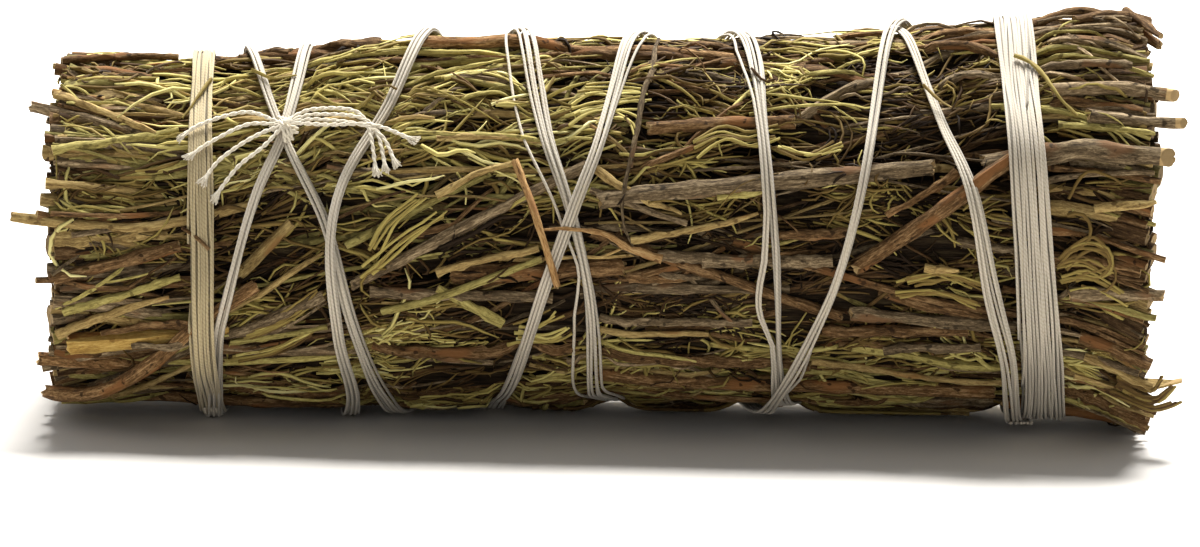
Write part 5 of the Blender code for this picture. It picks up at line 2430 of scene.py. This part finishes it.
@dataclass
class Binding:
    """All the cotton thread: two bands, the two windings between them, and the knot."""

    nodes: dict[str, Thing]
    bed: Bed
    left_width: Places = ((-180, 2.1), (-90, 2.3), (0, 1.95), (90, 2.35), (140, 2.2), (180, 2.1))
    right_width: Places = (
        (-180, 4.8), (-90, 4.0), (0, 3.4), (60, 3.3), (90, 3.4), (140, 4.2), (180, 4.8),
    )
    plain: ThreadFinish = ThreadFinish("cotton thread")
    dusty: ThreadFinish = ThreadFinish("dusty cotton thread", (0.47, 0.385, 0.225), (0.28, 0.21, 0.105))
    # The knot's cord is the same cotton made lighter: painted light on the raised tails.
    cord: ThreadFinish = ThreadFinish("cotton cord", (0.68, 0.62, 0.50), (0.50, 0.43, 0.31), twist=0.0)

    def build(self) -> list[Thing]:
        """Builds and dresses the thread.

        Returns:
            The pieces.
        """
        pieces = {
            "thread_band_left": self._band("left", -35.6, 0.6, self.left_width, 9, 5),
            "thread_band_right": self._band("right", 38.6, 1.6, self.right_width, 14, 6),
            "thread_outward_wrap": Winding(
                self.nodes["thread_outward_wrap"],
                self.bed,
                "cotton_winding_outward",
                OUTWARD_ROUTE,
                OUTWARD_FAN,
                7,
                OUTWARD_STRAYS,
            ).build(),
            "thread_return_wrap": Winding(
                self.nodes["thread_return_wrap"],
                self.bed,
                "cotton_winding_back",
                RETURN_ROUTE,
                RETURN_FAN,
                8,
                RETURN_STRAYS,
            ).build(),
            "thread_knot": Knot(self.bed, TAILS).build(),
        }
        kinds = (self.dusty, self.plain, self.plain, self.plain, self.cord)
        finishes = [kind.material() for kind in kinds]
        for (solid, piece), finish in zip(pieces.items(), finishes):
            dress(piece, finish)
            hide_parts(solid)
        return list(pieces.values())

    def _band(
        self, side: str, middle: float, slant: float, width: Places, rings: int, seed: int
    ) -> Thing:
        """Builds the band at one side, left or right."""
        node = self.nodes[f"thread_band_{side}"]
        return ThreadBand(node, self.bed, f"cotton_band_{side}", middle, slant, width, rings, seed).build()


# The studio


@dataclass(frozen=True)
class Studio:
    """Pale floor, soft overhead light and the photograph's camera."""

    aim: tuple[float, float, float] = (0.0, 0.0, 0.0134)
    distance: float = 0.8
    elevation: float = 10.0
    roll: float = 0.95
    lens: float = 263.5
    sensor: float = 36.0
    view_range: tuple[float, float] = (0.01, 20.0)
    floor_size: float = 6.0
    floor_cuts: int = 4
    key_power: float = 18.6
    key_size: float = 0.3
    key_place: tuple[float, float, float] = (0.05, 0.29, 0.64)
    key_aim: tuple[float, float, float] = (0.0, 0.0, 0.02)
    room_front: float = 0.06
    room_above: float = 0.3
    room_behind: float = 0.45
    room_facing: float = 1.0

    def build(self) -> None:
        """Sets everything up."""
        self._floor()
        self._camera()
        self._key()
        self._room()
        bpy.context.scene.view_settings.view_transform = "Standard"

    def _floor(self) -> None:
        """Lays a large plain floor under the bundle."""
        bpy.ops.object.select_all(action="DESELECT")
        bpy.ops.mesh.primitive_plane_add(size=self.floor_size)
        floor = bpy.context.object
        floor.name = "floor"
        bpy.ops.object.mode_set(mode="EDIT")
        bpy.ops.mesh.subdivide(number_cuts=self.floor_cuts)
        bpy.ops.object.mode_set(mode="OBJECT")
        floor.data.materials.append(FloorFinish("pale floor").material())

    def _camera(self) -> None:
        """Looks along +Y from slightly above, a little rolled."""
        camera = bpy.data.objects.new("camera", bpy.data.cameras.new("camera"))
        bpy.context.scene.collection.objects.link(camera)
        up = math.radians(self.elevation)
        away = Vector((0.0, -math.cos(up), math.sin(up)))
        camera.location = Vector(self.aim) + away * self.distance
        turn = Matrix.Rotation(math.radians(90.0 - self.elevation), 4, "X")
        camera.rotation_euler = (turn @ Matrix.Rotation(math.radians(self.roll), 4, "Z")).to_euler()
        camera.data.lens = self.lens
        camera.data.sensor_width = self.sensor
        camera.data.clip_start, camera.data.clip_end = self.view_range
        bpy.context.scene.camera = camera

    def _key(self) -> None:
        """Hangs a soft key light above and slightly behind."""
        key = bpy.data.objects.new("key", bpy.data.lights.new("key", "AREA"))
        bpy.context.scene.collection.objects.link(key)
        key.data.energy, key.data.size = self.key_power, self.key_size
        key.location = self.key_place
        key.rotation_euler = (Vector(self.key_aim) - key.location).to_track_quat("-Z", "Y").to_euler()

    def _room(self) -> None:
        """Surrounds the bundle with white light that is dimmer in front.

        Each of three directions adds its share between two of its coordinates.
        """
        world = bpy.data.worlds.new("room")
        bpy.context.scene.world = world
        world.use_nodes = True
        nodes, links = world.node_tree.nodes, world.node_tree.links
        place = nodes.new("ShaderNodeTexCoord")
        parts = nodes.new("ShaderNodeSeparateXYZ")
        links.new(place.outputs["Generated"], parts.inputs["Vector"])
        sides = (
            ("Z", 0.0, 0.9, self.room_above),
            ("Y", 0.0, 0.9, self.room_behind),
            ("Y", -0.72, -1.0, self.room_facing),
        )
        strength = None
        for axis, low, high, gain in sides:
            share = nodes.new("ShaderNodeMapRange")
            for name, value in (("From Min", low), ("From Max", high), ("To Min", 0.0), ("To Max", gain)):
                share.inputs[name].default_value = value
            links.new(parts.outputs[axis], share.inputs["Value"])
            total = nodes.new("ShaderNodeMath")
            total.operation = "ADD"
            total.inputs[1].default_value = self.room_front
            links.new(share.outputs["Result"], total.inputs[0])
            if strength:
                links.new(strength, total.inputs[1])
            strength = total.outputs[0]
        links.new(strength, nodes["Background"].inputs["Strength"])
        nodes["Background"].inputs["Color"].default_value = (1.0, 1.0, 1.0, 1.0)


@dataclass
class Filling:
    """The leafy sprigs' own solids, which show deep between the leaves as litter darkened nearly to black as
    painted shade.
    """

    nodes: dict[str, Thing]

    def dress(self) -> int:
        """Gives the solids their finish.

        Returns:
            How many there are.
        """
        finish = FillFinish("deep filling in painted shade").material()
        sprigs = [node for name, node in self.nodes.items() if name.startswith("leafy_sprig")]
        for node in sprigs:
            for slot in node.material_slots:
                slot.material = finish
        return len(sprigs)


def main() -> None:
    """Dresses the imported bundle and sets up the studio."""
    logging.basicConfig(level=logging.INFO, format="%(message)s")
    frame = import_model()
    nodes = frame["nodes"]
    slots = {part["node"]: part["material_slot"] for part in frame["record"]["subparts"]}
    Studio().build()
    bed = Bed(nodes)
    LOG.info("measured the solids")
    LOG.info("thread: %d pieces", len(Binding(nodes, bed).build()))
    LOG.info("stems: %d pieces", len(Stems(nodes, slots).build()))
    LOG.info("needle leaves: %d pieces", len(NeedleLeaves(bed).build()))
    LOG.info("twiglets: %d pieces", len(Twiglets(bed).build()))
    LOG.info("end stems: %d pieces", len(EndStems(bed).build()))
    LOG.info("cut ends: %d pieces", len(CutEnds(bed).build()))
    LOG.info("oddments: %d pieces", len(Oddments(bed).build()))
    LOG.info("filling: %d pieces", Filling(nodes).dress())


if __name__ == "__main__":
    main()
